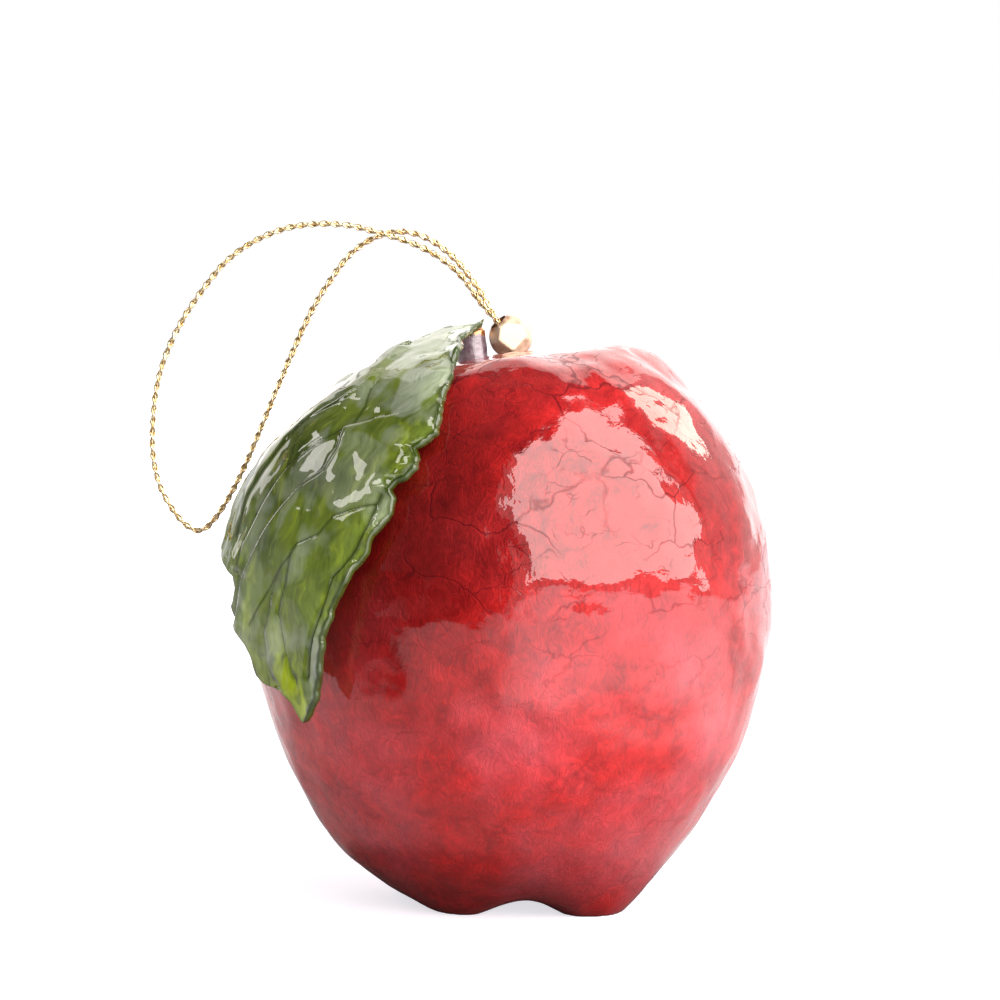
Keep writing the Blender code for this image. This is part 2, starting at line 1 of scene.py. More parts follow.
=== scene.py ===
"""The looks of a hanging apple ornament: lacquered capiz shell, a wrinkled lacquered leaf, a pearly
stem, a gold-leafed bead and a braided gold cord, in a white studio."""

import json
import math
import random

import bmesh
import bpy
import numpy as np
from mathutils import Matrix, Quaternion, Vector, noise


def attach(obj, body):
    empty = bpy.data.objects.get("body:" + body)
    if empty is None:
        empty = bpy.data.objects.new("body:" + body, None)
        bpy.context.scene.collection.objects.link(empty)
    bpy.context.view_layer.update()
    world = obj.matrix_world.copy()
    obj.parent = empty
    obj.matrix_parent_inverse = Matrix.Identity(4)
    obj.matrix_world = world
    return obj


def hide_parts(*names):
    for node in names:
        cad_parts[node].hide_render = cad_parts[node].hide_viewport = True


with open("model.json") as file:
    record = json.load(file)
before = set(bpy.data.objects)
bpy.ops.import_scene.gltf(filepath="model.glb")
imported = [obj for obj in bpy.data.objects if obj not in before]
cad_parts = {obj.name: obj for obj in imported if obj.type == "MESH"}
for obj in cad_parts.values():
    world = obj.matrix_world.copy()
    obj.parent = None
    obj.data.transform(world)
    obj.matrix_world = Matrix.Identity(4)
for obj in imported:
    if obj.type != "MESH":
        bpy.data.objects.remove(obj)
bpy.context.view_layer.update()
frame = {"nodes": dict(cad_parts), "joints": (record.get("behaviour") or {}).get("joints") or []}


# The core: two halves of moulded paper pulp and the strip glued inside across their seam. Pulp is
# drawn onto a wire former and dried, so it is raw, matt and faintly fibrous. The shell hides it.
MM = 0.001
PULP_LIGHT, PULP_DARK = "#b39a78", "#8f7556"
PULP_FIBRE_MM = 0.8


def linear(colour):
    """An sRGB hex colour as linear red, green, blue and alpha."""
    parts = [int(colour[start:start + 2], 16) / 255 for start in (1, 3, 5)]
    return (*[part / 12.92 if part <= 0.04045 else ((part + 0.055) / 1.055) ** 2.4
              for part in parts], 1.0)


def fill_inputs(node, inputs):
    """Sets or links a node's inputs, which are named or, where names repeat, numbered."""
    for key, value in inputs.items():
        by_name = (item for item in node.inputs if item.enabled and item.name == key)
        socket = node.inputs[key] if isinstance(key, int) else next(by_name)
        if isinstance(value, bpy.types.NodeSocket):
            node.id_data.links.new(value, socket)
        else:
            socket.default_value = value


def add_node(material, kind, inputs, output=None, **settings):
    """Adds a shader node with its settings and inputs, and returns one of its outputs."""
    node = material.node_tree.nodes.new("ShaderNode" + kind)
    for name, value in settings.items():
        setattr(node, name, value)
    fill_inputs(node, inputs)
    return next(item for item in node.outputs if item.enabled and output in (None, item.name))


def new_material(name):
    """An empty finish with its Principled shader and Object coordinates in millimetres."""
    material = bpy.data.materials.new(name)
    material.use_nodes = True
    place = add_node(material, "TexCoord", {}, "Object")
    place = add_node(material, "VectorMath", {0: place, "Scale": 1 / MM}, operation="SCALE")
    return material, material.node_tree.nodes["Principled BSDF"], place


def two_tone(name, dark, light, scale, detail, low=0.0, high=1.0):
    """A new material clouded with two colours, with its shader, place, clouds and colour."""
    material, shader, place = new_material(name)
    clouds = add_node(material, "TexNoise", {"Vector": place, "Scale": scale, "Detail": detail})
    clouds = add_node(material, "MapRange", {"Value": clouds, "From Min": low, "From Max": high})
    tone = add_node(material, "Mix", {
        "Factor": clouds, "A": linear(dark), "B": linear(light)}, data_type="RGBA")
    return material, shader, place, clouds, tone


def dress(material, slot, *nodes):
    """Gives CAD nodes a finish in place of their plain one."""
    for name in nodes:
        node = frame["nodes"][name]
        node.material_slots[0].material = material


pulp, shader, _, fibres, tone = two_tone(
    "moulded paper pulp", PULP_DARK, PULP_LIGHT, 1 / PULP_FIBRE_MM, 6.0)
dents = add_node(pulp, "Bump", {"Height": fibres, "Distance": 0.15 * MM, "Strength": 0.8})
fill_inputs(shader, {
    "Base Color": tone, "Normal": dents, "Roughness": 0.92, "Specular IOR Level": 0.2})
dress(pulp, "moulded_pulp", "core_lower_half", "core_upper_half", "core_seam_band")


# The shell: thin chips of red-dyed capiz are laid over the core and flooded with clear lacquer,
# which hides the joints of the tiles and leaves one lumpy glossy skin. It stands for all the tiles.
TILE_COUNT = 37
APPLE_WIDTH = 82.8 * MM
APPLE_HEIGHT = 87.0 * MM
CENTRE_HEIGHT = 44.7 * MM
LEAN = math.radians(3.4)
BEAD_OFFSET = Vector((0.0, -0.4 * MM, 0.0))

# Half of the body's outline from the floor of the stem's hollow, over the shoulder, round the
# belly and in to the hollow under the apple: shares of the half width and of the half height
OUTLINE = [
    (0.0, 0.956), (0.12, 0.955), (0.24, 0.956), (0.34, 0.954), (0.435, 0.957), (0.53, 0.938),
    (0.635, 0.88), (0.78, 0.729), (0.884, 0.579), (0.964, 0.4), (0.998, 0.216), (1.0, 0.016),
    (0.976, -0.152), (0.923, -0.331), (0.862, -0.492), (0.778, -0.637), (0.681, -0.779),
    (0.572, -0.883), (0.452, -0.947), (0.338, -0.949), (0.217, -0.91), (0.097, -0.864),
    (0.0, -0.855),
]

# Bulges and dents: azimuth from the right, angle from the top, height in millimetres and spread
SWELLINGS = [
    (-128, 162, 3.6, 7.4), (-51, 162, 6.3, 7.6), (38, 162, 5.2, 9.8), (150, 161, 3.0, 7.5),
    (0, 24, 1.1, 12.0), (185, 141, 1.3, 15.0), (70, 75, 0.7, 20.0), (100, 38, 0.8, 14.0),
    (-75, 12, 0.7, 5.0), (180, 31, -3.2, 13.0), (0, 0, -0.8, 5.0), (-90, 19, -0.2, 11.0),
    (90, 19, -1.9, 11.0), (180, 9, -2.0, 7.0), (-5, 140, -0.4, 14.0), (128, 95, -0.6, 18.0),
    (-60, 118, -0.5, 13.0), (-88, 162, -1.6, 6.5),
]
SKIN_CUTS = 119

# The hand-laid surface: feature sizes and heights in millimetres, from broad lumps to brushed
# lacquer, and where the lumps are higher, round the rim of the stem's hollow: the angle from the
# top, the spread and the gain
LUMPS = [(9.0, 0.34), (3.9, 0.12), (1.6, 0.026)]
RIM_ANGLE, RIM_SPREAD, RIM_GAIN = 30.0, 9.0, 1.4
LACQUER_POOL_WIDTH = 1.4 * MM
LACQUER_POOL_HEIGHT = 0.28 * MM

CAPIZ_BRIGHT, CAPIZ_DEEP, CAPIZ_MAUVE, CREASE_BROWN = "#be2322", "#8a1214", "#b05660", "#500e14"
CHIP_MM = 13.0
CRACK_MM = 5.2
FIBRE_MM = 0.35
MOTTLE_MM = 3.4
PATCH_MM = 19.0
DRIFT_MM, SWAY_MM = 8.5, 3.5
COAT_IOR = 1.52

# What changes with the height: from one height to another in millimetres, and the values there
# The upper and rim grades set painted light and shade on the red
HEIGHT_GRADES = {
    "drowned": (38.0, 62.0, 0.28, 1.0), "mauve": (55.0, 25.0, 0.2, 1.0),
    "upper": (40.0, 56.0, -0.14, 0.28), "rim": (73.0, 81.0, 0.0, 0.5),
}


def unit(azimuth, polar):
    """The direction at an azimuth from the right and an angle from the top, both in degrees."""
    turn, drop = math.radians(azimuth), math.radians(polar)
    across = math.sin(drop)
    return Vector((across * math.cos(turn), across * math.sin(turn), math.cos(drop)))


def smooth_curve(points, step):
    """Points a step apart on a smooth curve through the given points, and its length."""
    points = np.array(points, float)
    ends = np.vstack([points[0] * 2 - points[1], points, points[-1] * 2 - points[-2]])
    fine = []
    for before, start, end, after in zip(ends, ends[1:], ends[2:], ends[3:]):
        for share in np.linspace(0.0, 1.0, 12, endpoint=False):
            even = start * 2 + (end - before) * share
            square = (before * 2 - start * 5 + end * 4 - after) * share ** 2
            cube = (start * 3 - before - end * 3 + after) * share ** 3
            fine.append((even + square + cube) * 0.5)
    fine = np.array([*fine, points[-1]])
    run = np.concatenate([[0.0], np.cumsum(np.linalg.norm(np.diff(fine, axis=0), axis=1))])
    grid = np.linspace(0.0, run[-1], max(2, round(run[-1] / step)) + 1)
    return np.stack([np.interp(grid, run, fine[:, axis]) for axis in range(3)], axis=1), run[-1]


half_outline = [(share * APPLE_WIDTH / 2, 0.0, height * APPLE_HEIGHT / 2)
                for share, height in OUTLINE]
outline_curve, _ = smooth_curve(half_outline, 0.5 * MM)
outline_angles = np.arctan2(np.maximum(outline_curve[:, 0], 0.0), outline_curve[:, 2])
outline_radii = np.hypot(outline_curve[:, 0], outline_curve[:, 2])
upright = np.array(Matrix.Rotation(LEAN, 3, "Y"))
pivot = Vector(frame["joints"][0]["pos_m"])
apple_centre = Vector((pivot.x, pivot.y, CENTRE_HEIGHT)) - BEAD_OFFSET


def apple_radius(directions):
    """Distances from the apple's centre to its outer surface in the given directions."""
    directions = np.array(directions, float)
    body = directions / np.linalg.norm(directions, axis=-1, keepdims=True) @ upright.T
    radius = np.interp(np.arccos(np.clip(body[..., 2], -1.0, 1.0)), outline_angles, outline_radii)
    for azimuth, polar, height, spread in SWELLINGS:
        apart = np.degrees(np.arccos(np.clip(body @ np.array(unit(azimuth, polar)), -1.0, 1.0)))
        radius = radius + height * MM * np.exp(-0.5 * (apart / spread) ** 2)
    return radius


def surface_height(x, y):
    """Height of the top of the apple at x, y from its centre, above that centre."""
    height = CENTRE_HEIGHT
    for _ in range(25):
        reach = apple_radius([x, y, height])
        height = math.sqrt(max(reach ** 2 - x ** 2 - y ** 2, 0.0))
    return height


def bumps(places, sizes, seed):
    """Heights of layered noise at places, from its sizes and heights in millimetres."""
    offset = Vector((seed * 7.1, seed * 3.3, seed * 5.7))
    heights = []
    for place in places:
        point = Vector(place) / MM
        heights.append(sum(high * noise.noise(point / wide + offset) for wide, high in sizes) * MM)
    return np.array(heights)


def add_object(name, data):
    """Puts a new object at the origin of the scene."""
    added = bpy.data.objects.new(name, data)
    bpy.context.scene.collection.objects.link(added)
    return added


def finish_mesh(name, bm, *materials, sharp=None):
    """Makes a bmesh an object at the origin, shaded smooth up to a sharp angle."""
    mesh = bpy.data.meshes.new(name)
    bm.to_mesh(mesh)
    bm.free()
    mesh.shade_smooth()
    if sharp is not None:
        mesh.set_sharp_from_angle(angle=math.radians(sharp))
    for material in materials:
        mesh.materials.append(material)
    return add_object(name, mesh)


def keep_values(bm, name, values):
    """Keeps a value at each vertex of a bmesh for its material to read."""
    layer = bm.verts.layers.float.new(name)
    for vertex, value in zip(bm.verts, values):
        vertex[layer] = value


def place_vertices(bm, places):
    """Moves the vertices of a bmesh to new places."""
    for vertex, place in zip(bm.verts, places):
        vertex.co = place


STEM_PLACE = Vector((-5.9 * MM, 0.4 * MM, 0.0))
STEM_RADIUS = 2.9 * MM

skin_bm = bmesh.new()
bmesh.ops.create_cube(skin_bm, size=2.0)
bmesh.ops.subdivide_edges(skin_bm, edges=skin_bm.edges[:], cuts=SKIN_CUTS, use_grid_fill=True)
rays = np.tan(np.array([vertex.co for vertex in skin_bm.verts]) * math.pi / 4)
rays /= np.linalg.norm(rays, axis=1, keepdims=True)
reach = apple_radius(rays)
from_rim = (np.degrees(np.arccos(rays[:, 2])) - RIM_ANGLE) / RIM_SPREAD
reach += bumps(rays * reach[:, None], LUMPS, 1) * (1.0 + RIM_GAIN * np.exp(-from_rim ** 2))
skin = rays * reach[:, None]
stem_gap = np.hypot(skin[:, 0] - STEM_PLACE.x, skin[:, 1] - STEM_PLACE.y) - STEM_RADIUS
pool = np.exp(-np.clip(stem_gap / LACQUER_POOL_WIDTH, 0.0, None) ** 2) * (skin[:, 2] > 0.0)
skin *= 1.0 + (pool * LACQUER_POOL_HEIGHT / reach)[:, None]
skin += np.array(apple_centre)
skin[:, 2] = np.maximum(skin[:, 2], 0.0)
place_vertices(skin_bm, skin)

capiz, shader, place = new_material("red capiz under clear lacquer")
drift = add_node(capiz, "TexNoise", {"Vector": place, "Scale": 0.15, "Detail": 3.0}, "Color")
drift = add_node(capiz, "VectorMath", {0: drift, 1: (0.5, 0.5, 0.5)}, operation="SUBTRACT")
wandering = add_node(capiz, "VectorMath", {
    0: drift, 1: (DRIFT_MM,) * 3, 2: place}, operation="MULTIPLY_ADD")
sway = add_node(capiz, "TexNoise", {"Vector": place, "Scale": 0.3, "Detail": 1.0}, "Color")
swaying = add_node(capiz, "VectorMath", {
    0: sway, 1: (SWAY_MM,) * 3, 2: place}, operation="MULTIPLY_ADD")

height = add_node(capiz, "SeparateXYZ", {"Vector": place}, "Z")
graded = {}
for name, (start, end, low, high) in HEIGHT_GRADES.items():
    graded[name] = add_node(capiz, "MapRange", {
        "Value": height, "From Min": start, "From Max": end, "To Min": low, "To Max": high})

# Creases run where chips meet and crack, and fade in and out because the lacquer fills them. Each
# kind: its size, its share of that size, and the noise between which it fades in. They show less
# towards the foot, where the lacquer has run and lies thickest.
creases = None
flattened = add_node(capiz, "Mapping", {"Vector": wandering, "Scale": (0.8, 0.8, 1.5)})
for wide, thick, low, high in ((CHIP_MM, 0.026, 0.38, 0.54), (CRACK_MM, 0.03, 0.5, 0.68)):
    edge = add_node(capiz, "TexVoronoi", {
        "Vector": flattened, "Scale": 1 / wide}, feature="DISTANCE_TO_EDGE")
    line = add_node(capiz, "MapRange", {
        "Value": edge, "From Min": thick, "From Max": 0.0}, interpolation_type="SMOOTHSTEP")
    shown = add_node(capiz, "TexNoise", {"Vector": place, "Scale": 1 / wide})
    shown = add_node(capiz, "MapRange", {"Value": shown, "From Min": low, "From Max": high})
    line = add_node(capiz, "Math", {0: line, 1: shown}, operation="MULTIPLY")
    creases = line if creases is None else add_node(capiz, "Math", {
        0: creases, 1: line}, operation="MAXIMUM")
creases = add_node(capiz, "Math", {0: creases, 1: graded["drowned"]}, operation="MULTIPLY")

# Shell fibres: fine streaks that run upright in some chips and slantwise in others
streaks = []
for slant in (8.0, 58.0):
    stretched = add_node(capiz, "Mapping", {
        "Vector": swaying, "Rotation": (0.0, math.radians(slant), 0.0),
        "Scale": (1 / FIBRE_MM, 1 / FIBRE_MM, 0.14 / FIBRE_MM)})
    streaks.append(add_node(capiz, "TexNoise", {"Vector": stretched, "Scale": 1.0}))
turning = add_node(capiz, "TexNoise", {"Vector": place, "Scale": 1 / CHIP_MM, "Detail": 1.0})
turning = add_node(capiz, "MapRange", {"Value": turning, "From Min": 0.44, "From Max": 0.56})
fibres = add_node(capiz, "Mix", {"Factor": turning, "A": streaks[0], "B": streaks[1]})

# The red: mottled within each chip and mauve in patches. Painted light makes it paler towards the
# foot and darker upwards, lighter again round the rim of the stem's hollow, and the upper half is
# painted darker on the left, away from the key light, than on the right.
mottle = add_node(capiz, "TexNoise", {
    "Vector": swaying, "Scale": 1 / MOTTLE_MM, "Detail": 6.0, "Roughness": 0.66})
mottle = add_node(capiz, "MapRange", {"Value": mottle, "From Min": 0.3, "From Max": 0.72})
patches = add_node(capiz, "TexNoise", {"Vector": place, "Scale": 1 / PATCH_MM, "Detail": 5.0})
patches = add_node(capiz, "MapRange", {
    "Value": patches, "From Min": 0.46, "From Max": 0.66, "To Max": 0.45})
across = add_node(capiz, "SeparateXYZ", {"Vector": place}, "X")
patches = add_node(capiz, "Math", {0: patches, 1: graded["mauve"]}, operation="MULTIPLY")
tone = add_node(capiz, "Mix", {
    "Factor": mottle, "A": linear(CAPIZ_DEEP), "B": linear(CAPIZ_BRIGHT)}, data_type="RGBA")
tone = add_node(capiz, "Mix", {
    "Factor": patches, "A": tone, "B": linear(CAPIZ_MAUVE)}, data_type="RGBA")
streak_shade = add_node(capiz, "MapRange", {
    "Value": fibres, "From Min": 0.3, "From Max": 0.7, "To Min": 0.8, "To Max": 1.16})
tone = add_node(capiz, "VectorMath", {0: tone, "Scale": streak_shade}, operation="SCALE")
# Painted light: the red is scaled paler towards the foot, where light from the floor falls, and
# darker upwards
level = add_node(capiz, "Math", {0: patches, 1: -16.0, 2: height}, operation="MULTIPLY_ADD")
painted_low_light = add_node(capiz, "MapRange", {
    "Value": level, "From Min": 58.0, "From Max": 22.0, "To Min": 0.51, "To Max": 1.4})
tone = add_node(capiz, "VectorMath", {0: tone, "Scale": painted_low_light}, operation="SCALE")
# Painted light and shade: the upper half is scaled darker on the left, away from the key light, and
# lighter on the right, and the rim of the stem's hollow lighter
painted_side_light = add_node(capiz, "MapRange", {
    "Value": across, "From Min": -35.0, "From Max": 35.0, "To Min": -1.0})
painted_side_light = add_node(capiz, "Math", {0: painted_side_light, 1: graded["upper"], 2: 1.0}, operation="MULTIPLY_ADD")
painted_side_light = add_node(capiz, "Math", {0: painted_side_light, 1: graded["rim"]}, operation="ADD")
tone = add_node(capiz, "VectorMath", {0: tone, "Scale": painted_side_light}, operation="SCALE")
crease_share = add_node(capiz, "Math", {0: creases, 1: 0.7}, operation="MULTIPLY")
tone = add_node(capiz, "Mix", {
    "Factor": crease_share, "A": tone, "B": linear(CREASE_BROWN)}, data_type="RGBA")

# The shell shimmers like metal under its fibres' relief, and the lacquer is a smooth wet coat
relief = add_node(capiz, "Math", {0: fibres, 1: 0.08}, operation="MULTIPLY")
relief = add_node(capiz, "Math", {0: mottle, 1: 0.05, 2: relief}, operation="MULTIPLY_ADD")
relief = add_node(capiz, "Math", {0: creases, 1: -0.05, 2: relief}, operation="MULTIPLY_ADD")
shell_relief = add_node(capiz, "Bump", {"Height": relief, "Distance": MM})
brushed = add_node(capiz, "TexNoise", {"Vector": place, "Scale": 0.8})
brushed = add_node(capiz, "Math", {0: creases, 1: -0.15, 2: brushed}, operation="MULTIPLY_ADD")
lacquer_relief = add_node(capiz, "Bump", {"Height": brushed, "Distance": 0.03 * MM})
gloss = add_node(capiz, "MapRange", {"Value": mottle, "To Min": 0.68, "To Max": 0.58})
lacquered = add_node(capiz, "Math", {0: creases, 1: -0.55, 2: 1.0}, operation="MULTIPLY_ADD")
fill_inputs(shader, {
    "Base Color": tone, "Metallic": 0.85, "Roughness": gloss, "Specular IOR Level": 0.0,
    "Normal": shell_relief, "Coat Weight": lacquered, "Coat Roughness": 0.03, "Coat IOR": COAT_IOR,
    "Coat Normal": lacquer_relief})
skin_piece = finish_mesh("lacquered_skin", skin_bm, capiz)
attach(skin_piece, "apple")
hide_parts(*[f"capiz_tile_{number:02d}" for number in range(1, TILE_COUNT + 1)])


# The stem: a short stub built up of mauve capiz chips round a peg, lacquered, with a touch of gold
# leaf on its end. Its tenon goes down through the shell and the core.
STEM_FLARE = 0.3 * MM
STEM_HEIGHT = 6.5 * MM
STEM_DOME = 0.8 * MM
STEM_EDGE = 0.1 * MM
STEM_LEAN = math.radians(4.0)
STEM_WAIST = 2.6 * MM
TENON_RADIUS = 1.7 * MM
TENON_LENGTH = 7.0 * MM
FIT_CLEARANCE = 0.3 * MM
STEM_STEPS, STEM_CUTS = 72, 5
STEM_SQUARENESS = 0.07
STEM_LUMPS = [(1.6, 0.09)]
GILT_START, GILT_FULL = 1.0, 0.6
PEARL_LIGHT, PEARL_DARK, GOLD_TOUCH = "#82747b", "#63505a", "#c08048"


def turned(profile, steps, cuts):
    """A closed body turned about Z from a profile of (radius, height) that starts and ends on the
    axis, or from a closed ring profile, with its edges cut finer."""
    bm = bmesh.new()
    points = [bm.verts.new((radius, 0.0, height)) for radius, height in profile]
    edges = [bm.edges.new(pair) for pair in zip(points, points[1:])]
    if profile[0][0] > 0.0:
        edges.append(bm.edges.new((points[-1], points[0])))
    if cuts:
        bmesh.ops.subdivide_edges(bm, edges=edges, cuts=cuts)
    bmesh.ops.spin(bm, geom=bm.verts[:] + bm.edges[:], cent=(0, 0, 0), axis=(0, 0, 1),
                   dvec=(0, 0, 0), angle=math.tau, steps=steps, use_merge=True, use_duplicate=False)
    bmesh.ops.remove_doubles(bm, verts=bm.verts[:], dist=0.002 * MM)
    bmesh.ops.recalc_face_normals(bm, faces=bm.faces[:])
    return bm


def ramp(values, start, end):
    """Shares from 0 at the start to 1 at the end, whichever of them is the higher."""
    return np.clip((values - start) / (end - start), 0.0, 1.0)


around = ((0, 0), (1, 0), (-1, 0), (0, 1), (0, -1), (0.7, 0.7), (0.7, -0.7))
stem_ground = max(surface_height(STEM_PLACE.x + dx * STEM_WAIST, STEM_PLACE.y + dy * STEM_WAIST)
                  for dx, dy in around)
stem_foot = CENTRE_HEIGHT + stem_ground + FIT_CLEARANCE + STEM_FLARE
stem_profile = [(0.0, STEM_HEIGHT)]
for share in np.linspace(0.2, 1.0, 7):
    rise = STEM_DOME * (math.sqrt(max(1.0 - share ** 2, 0.0)) - 1.0)
    stem_profile.append((share * (STEM_WAIST - STEM_EDGE), STEM_HEIGHT + rise))
stem_profile += [
    (STEM_WAIST, STEM_HEIGHT * 0.5), (STEM_WAIST + STEM_FLARE * 0.4, STEM_HEIGHT * 0.2),
    (STEM_WAIST + STEM_FLARE, 0.0), (TENON_RADIUS, 0.0), (TENON_RADIUS, -TENON_LENGTH),
    (0.0, -TENON_LENGTH),
]
stem_bm = turned(stem_profile, STEM_STEPS, STEM_CUTS)
stem_places = np.array([vertex.co for vertex in stem_bm.verts])
turns = np.arctan2(stem_places[:, 1], stem_places[:, 0])
above = ramp(stem_places[:, 2], 0.0, MM)
swell = 1.0 - STEM_SQUARENESS * (1.0 + np.cos(4 * turns)) / 2 * above
stem_places[:, :2] *= swell[:, None]
stem_places[:, :2] *= (1.0 + bumps(stem_places, STEM_LUMPS, 5) / STEM_WAIST * above)[:, None]
place_vertices(stem_bm, stem_places)
stem_spot = Vector((apple_centre.x + STEM_PLACE.x, apple_centre.y + STEM_PLACE.y, stem_foot))
leaning = Matrix.Translation(stem_spot) @ Matrix.Rotation(-STEM_LEAN, 4, "Y")
bmesh.ops.transform(stem_bm, matrix=leaning, verts=stem_bm.verts[:])

pearl, shader, place, cloud, tone = two_tone(
    "mauve capiz pearl under lacquer", PEARL_DARK, PEARL_LIGHT, 0.9, 4.0, 0.35, 0.65)
height = add_node(pearl, "SeparateXYZ", {"Vector": place}, "Z")
gilding = add_node(pearl, "Math", {0: cloud, 1: 0.9, 2: height}, operation="MULTIPLY_ADD")
stem_end = (stem_foot + STEM_HEIGHT) / MM
gilding = add_node(pearl, "MapRange", {
    "Value": gilding, "From Min": stem_end - GILT_START, "From Max": stem_end - GILT_FULL})
tone = add_node(pearl, "Mix", {
    "Factor": gilding, "A": tone, "B": linear(GOLD_TOUCH)}, data_type="RGBA")
metal = add_node(pearl, "MapRange", {"Value": gilding, "To Min": 0.25, "To Max": 0.9})
dents = add_node(pearl, "Bump", {"Height": cloud, "Distance": 0.05 * MM})
fill_inputs(shader, {
    "Base Color": tone, "Metallic": metal, "Roughness": 0.35, "Normal": dents, "Coat Weight": 1.0,
    "Coat Roughness": 0.05})
stem_piece = finish_mesh("pearl_stem", stem_bm, pearl, sharp=50.0)
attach(stem_piece, "apple")
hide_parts("stem")


# The leaf: a green leaf of shell and thick lacquer, draped while soft over the stem and the left
# shoulder. It keeps a fold, pleats and a gutter beside its rib, and its right edge is rolled up.
LEAF_ROOT_X = -2.2 * MM
LEAF_AZIMUTH = math.radians(220.0)
LEAF_LENGTH = 81.4 * MM
LEAF_THICKNESS = 1.1 * MM
LEAF_CLEARANCE, LEAF_EASE = 0.45 * MM, 0.6 * MM
LEAF_NECK = 16.0
LEAF_ROWS, LEAF_COLUMNS = 330, 120

# The rib: angle from the top and height in millimetres above the apple's surface
LEAF_RIB = [
    (3.5, 7.0), (12.4, 5.9), (23.0, 2.85), (34.5, 0.2), (46.3, 0.6), (58.6, 1.3),
    (70.4, 2.0), (82.1, 3.05), (93.5, 3.4), (102.6, 3.5), (108.8, 3.6),
]

# The torn edge: reach to the right and to the left of the rib at distances along it, in millimetres
LEAF_RIGHT = [
    (0, 0.6), (3, 3.2), (5.5, 4.7), (10.7, 8.2), (12.2, 8.7), (14.3, 11.2), (17.4, 12.8),
    (20.6, 15.6), (24.9, 17.2), (29.1, 19.7), (31.9, 20.6), (34.3, 20), (35.7, 18.9), (37.3, 20.6),
    (38.8, 21.1), (41.1, 20.6), (42.1, 19.2), (43.7, 18.6), (44.6, 19.6), (47.1, 20.2),
    (49.6, 19.6), (52.3, 18.5), (54.6, 18.1), (57.9, 16.8), (61.5, 15.4), (63.5, 14.2),
    (65.2, 13.9), (67.9, 12.9), (70.2, 12.9), (72.6, 12.1), (77, 10.4), (80, 8.6), (81.4, 7.2),
]
LEAF_LEFT = [
    (0, 0.4), (4, 0.2), (9, 0.4), (13, 1.1), (17, 1.6), (21, 1.4), (22.9, 0.6), (23.6, 3.4),
    (25, 9), (28, 17), (31, 20.5), (34, 24), (40, 26.5), (45, 25.2), (48, 26), (52, 22.8),
    (55, 22), (57.5, 18.6), (59.3, 14.6), (60.6, 10.6), (62.1, 10), (65.4, 10.9), (67.9, 9.1),
    (70.4, 5.6), (72.7, 4.2), (75.2, 3.4), (76.4, 1.4), (76.9, -2.6), (78.2, -4.4), (80.1, -5.4),
    (81.4, -6.6),
]
EDGE_CHIPS = [(2.1, 0.30), (0.9, 0.14)]
LEAF_LIP, LIP_WIDTH = 1.2 * MM, 5.0 * MM
LEAF_TUCK = 1.6 * MM

# Lines moulded into the leaf: distances along it and to the right of its rib, in millimetres
FOLD = [(17, -0.6), (22.9, 0.8), (28, 2.3), (33.4, -3.1), (36.9, -5), (42.4, -15.4), (47, -22)]
GUTTER = [(33, 8.8), (35.5, 5), (38.8, 6), (42.9, 5.3), (46.3, 1.6), (51.4, -2), (57, -5.1),
          (61, -7), (67, -8.2)]
HIGH_FOLD = [(30, 0.6), (32.4, -2), (36.8, -5.9), (44.3, -11), (48.1, -12.3), (54, -12.8)]
LOWER_FOLD = [(64, 1.5), (68.5, 0.2), (73, 0.8), (76, 2.6)]
VEINS = [
    [(46.4, 17), (47.6, 14.7), (49.7, 10.8), (52.8, 8.9), (54.7, 5.3), (57.2, 3.9), (62.2, 0.1),
     (67.5, -3.8)],
    [(56.2, 4.6), (60.5, 4.6), (65, 3.2), (70.5, 4.6), (75.5, 6.3)],
    [(50.5, -7.4), (54.8, -9.2), (60, -9.6)],
    [(27.5, 4), (30.5, 5.4), (34.3, 5.6), (38.6, 1.2), (43.4, -3), (49, -6.6), (54.5, -9)],
]
LIP_VALLEY = [(44.5, 17.6), (50, 17.4), (54, 16.4), (57.1, 15), (59.1, 13.2), (62.8, 12.7),
              (66.6, 11.2), (70.7, 9.8), (74.5, 8.8)]

# Small forms as sizes and heights in millimetres: the rolled edge's unevenness, pleats along the
# lower half, brush strokes in them, and puckers everywhere
RAGS, PLEATS = [(5.0, 0.9), (2.0, 0.4)], [(2.3, 0.12)]
STROKES, PUCKERS = [(0.9, 0.03)], [(7.0, 0.4), (3.6, 0.1)]

# Painted reflections of the gloss, as milky places in the lacquer's colour: middle along and to the
# right, their two radii, and strength
LEAF_PAINTED_REFLECTIONS = [
    (9.0, 4.0, 18.5, 16.0, 0.55), (31.0, -14.5, 11.5, 11.5, 1.0), (41.5, 11.5, 6.5, 5.8, 0.35),
    (24.5, 12.0, 6.0, 5.5, 0.75),
    (47.0, 0.6, 8.0, 1.3, 0.4), (38.5, 1.6, 6.0, 1.2, 0.5), (62.0, -4.0, 10.0, 4.0, 0.25),
]
LEAF_DEEP, LEAF_OLIVE, LEAF_YELLOW, LEAF_MILK_AND_REFLECTION = "#243208", "#5c6c26", "#84941c", "#8b9484"


def leaf_reach(table, distance, seed):
    """Reach of the leaf to one side at distances along it, with small chips out of its edge."""
    places, reaches = np.array(table, float).T
    chips = bumps([(place, 0.0, 0.0) for place in distance], EDGE_CHIPS, seed)
    return np.interp(distance / MM, places, reaches) * MM + chips * ramp(distance, 0.0, 12 * MM)


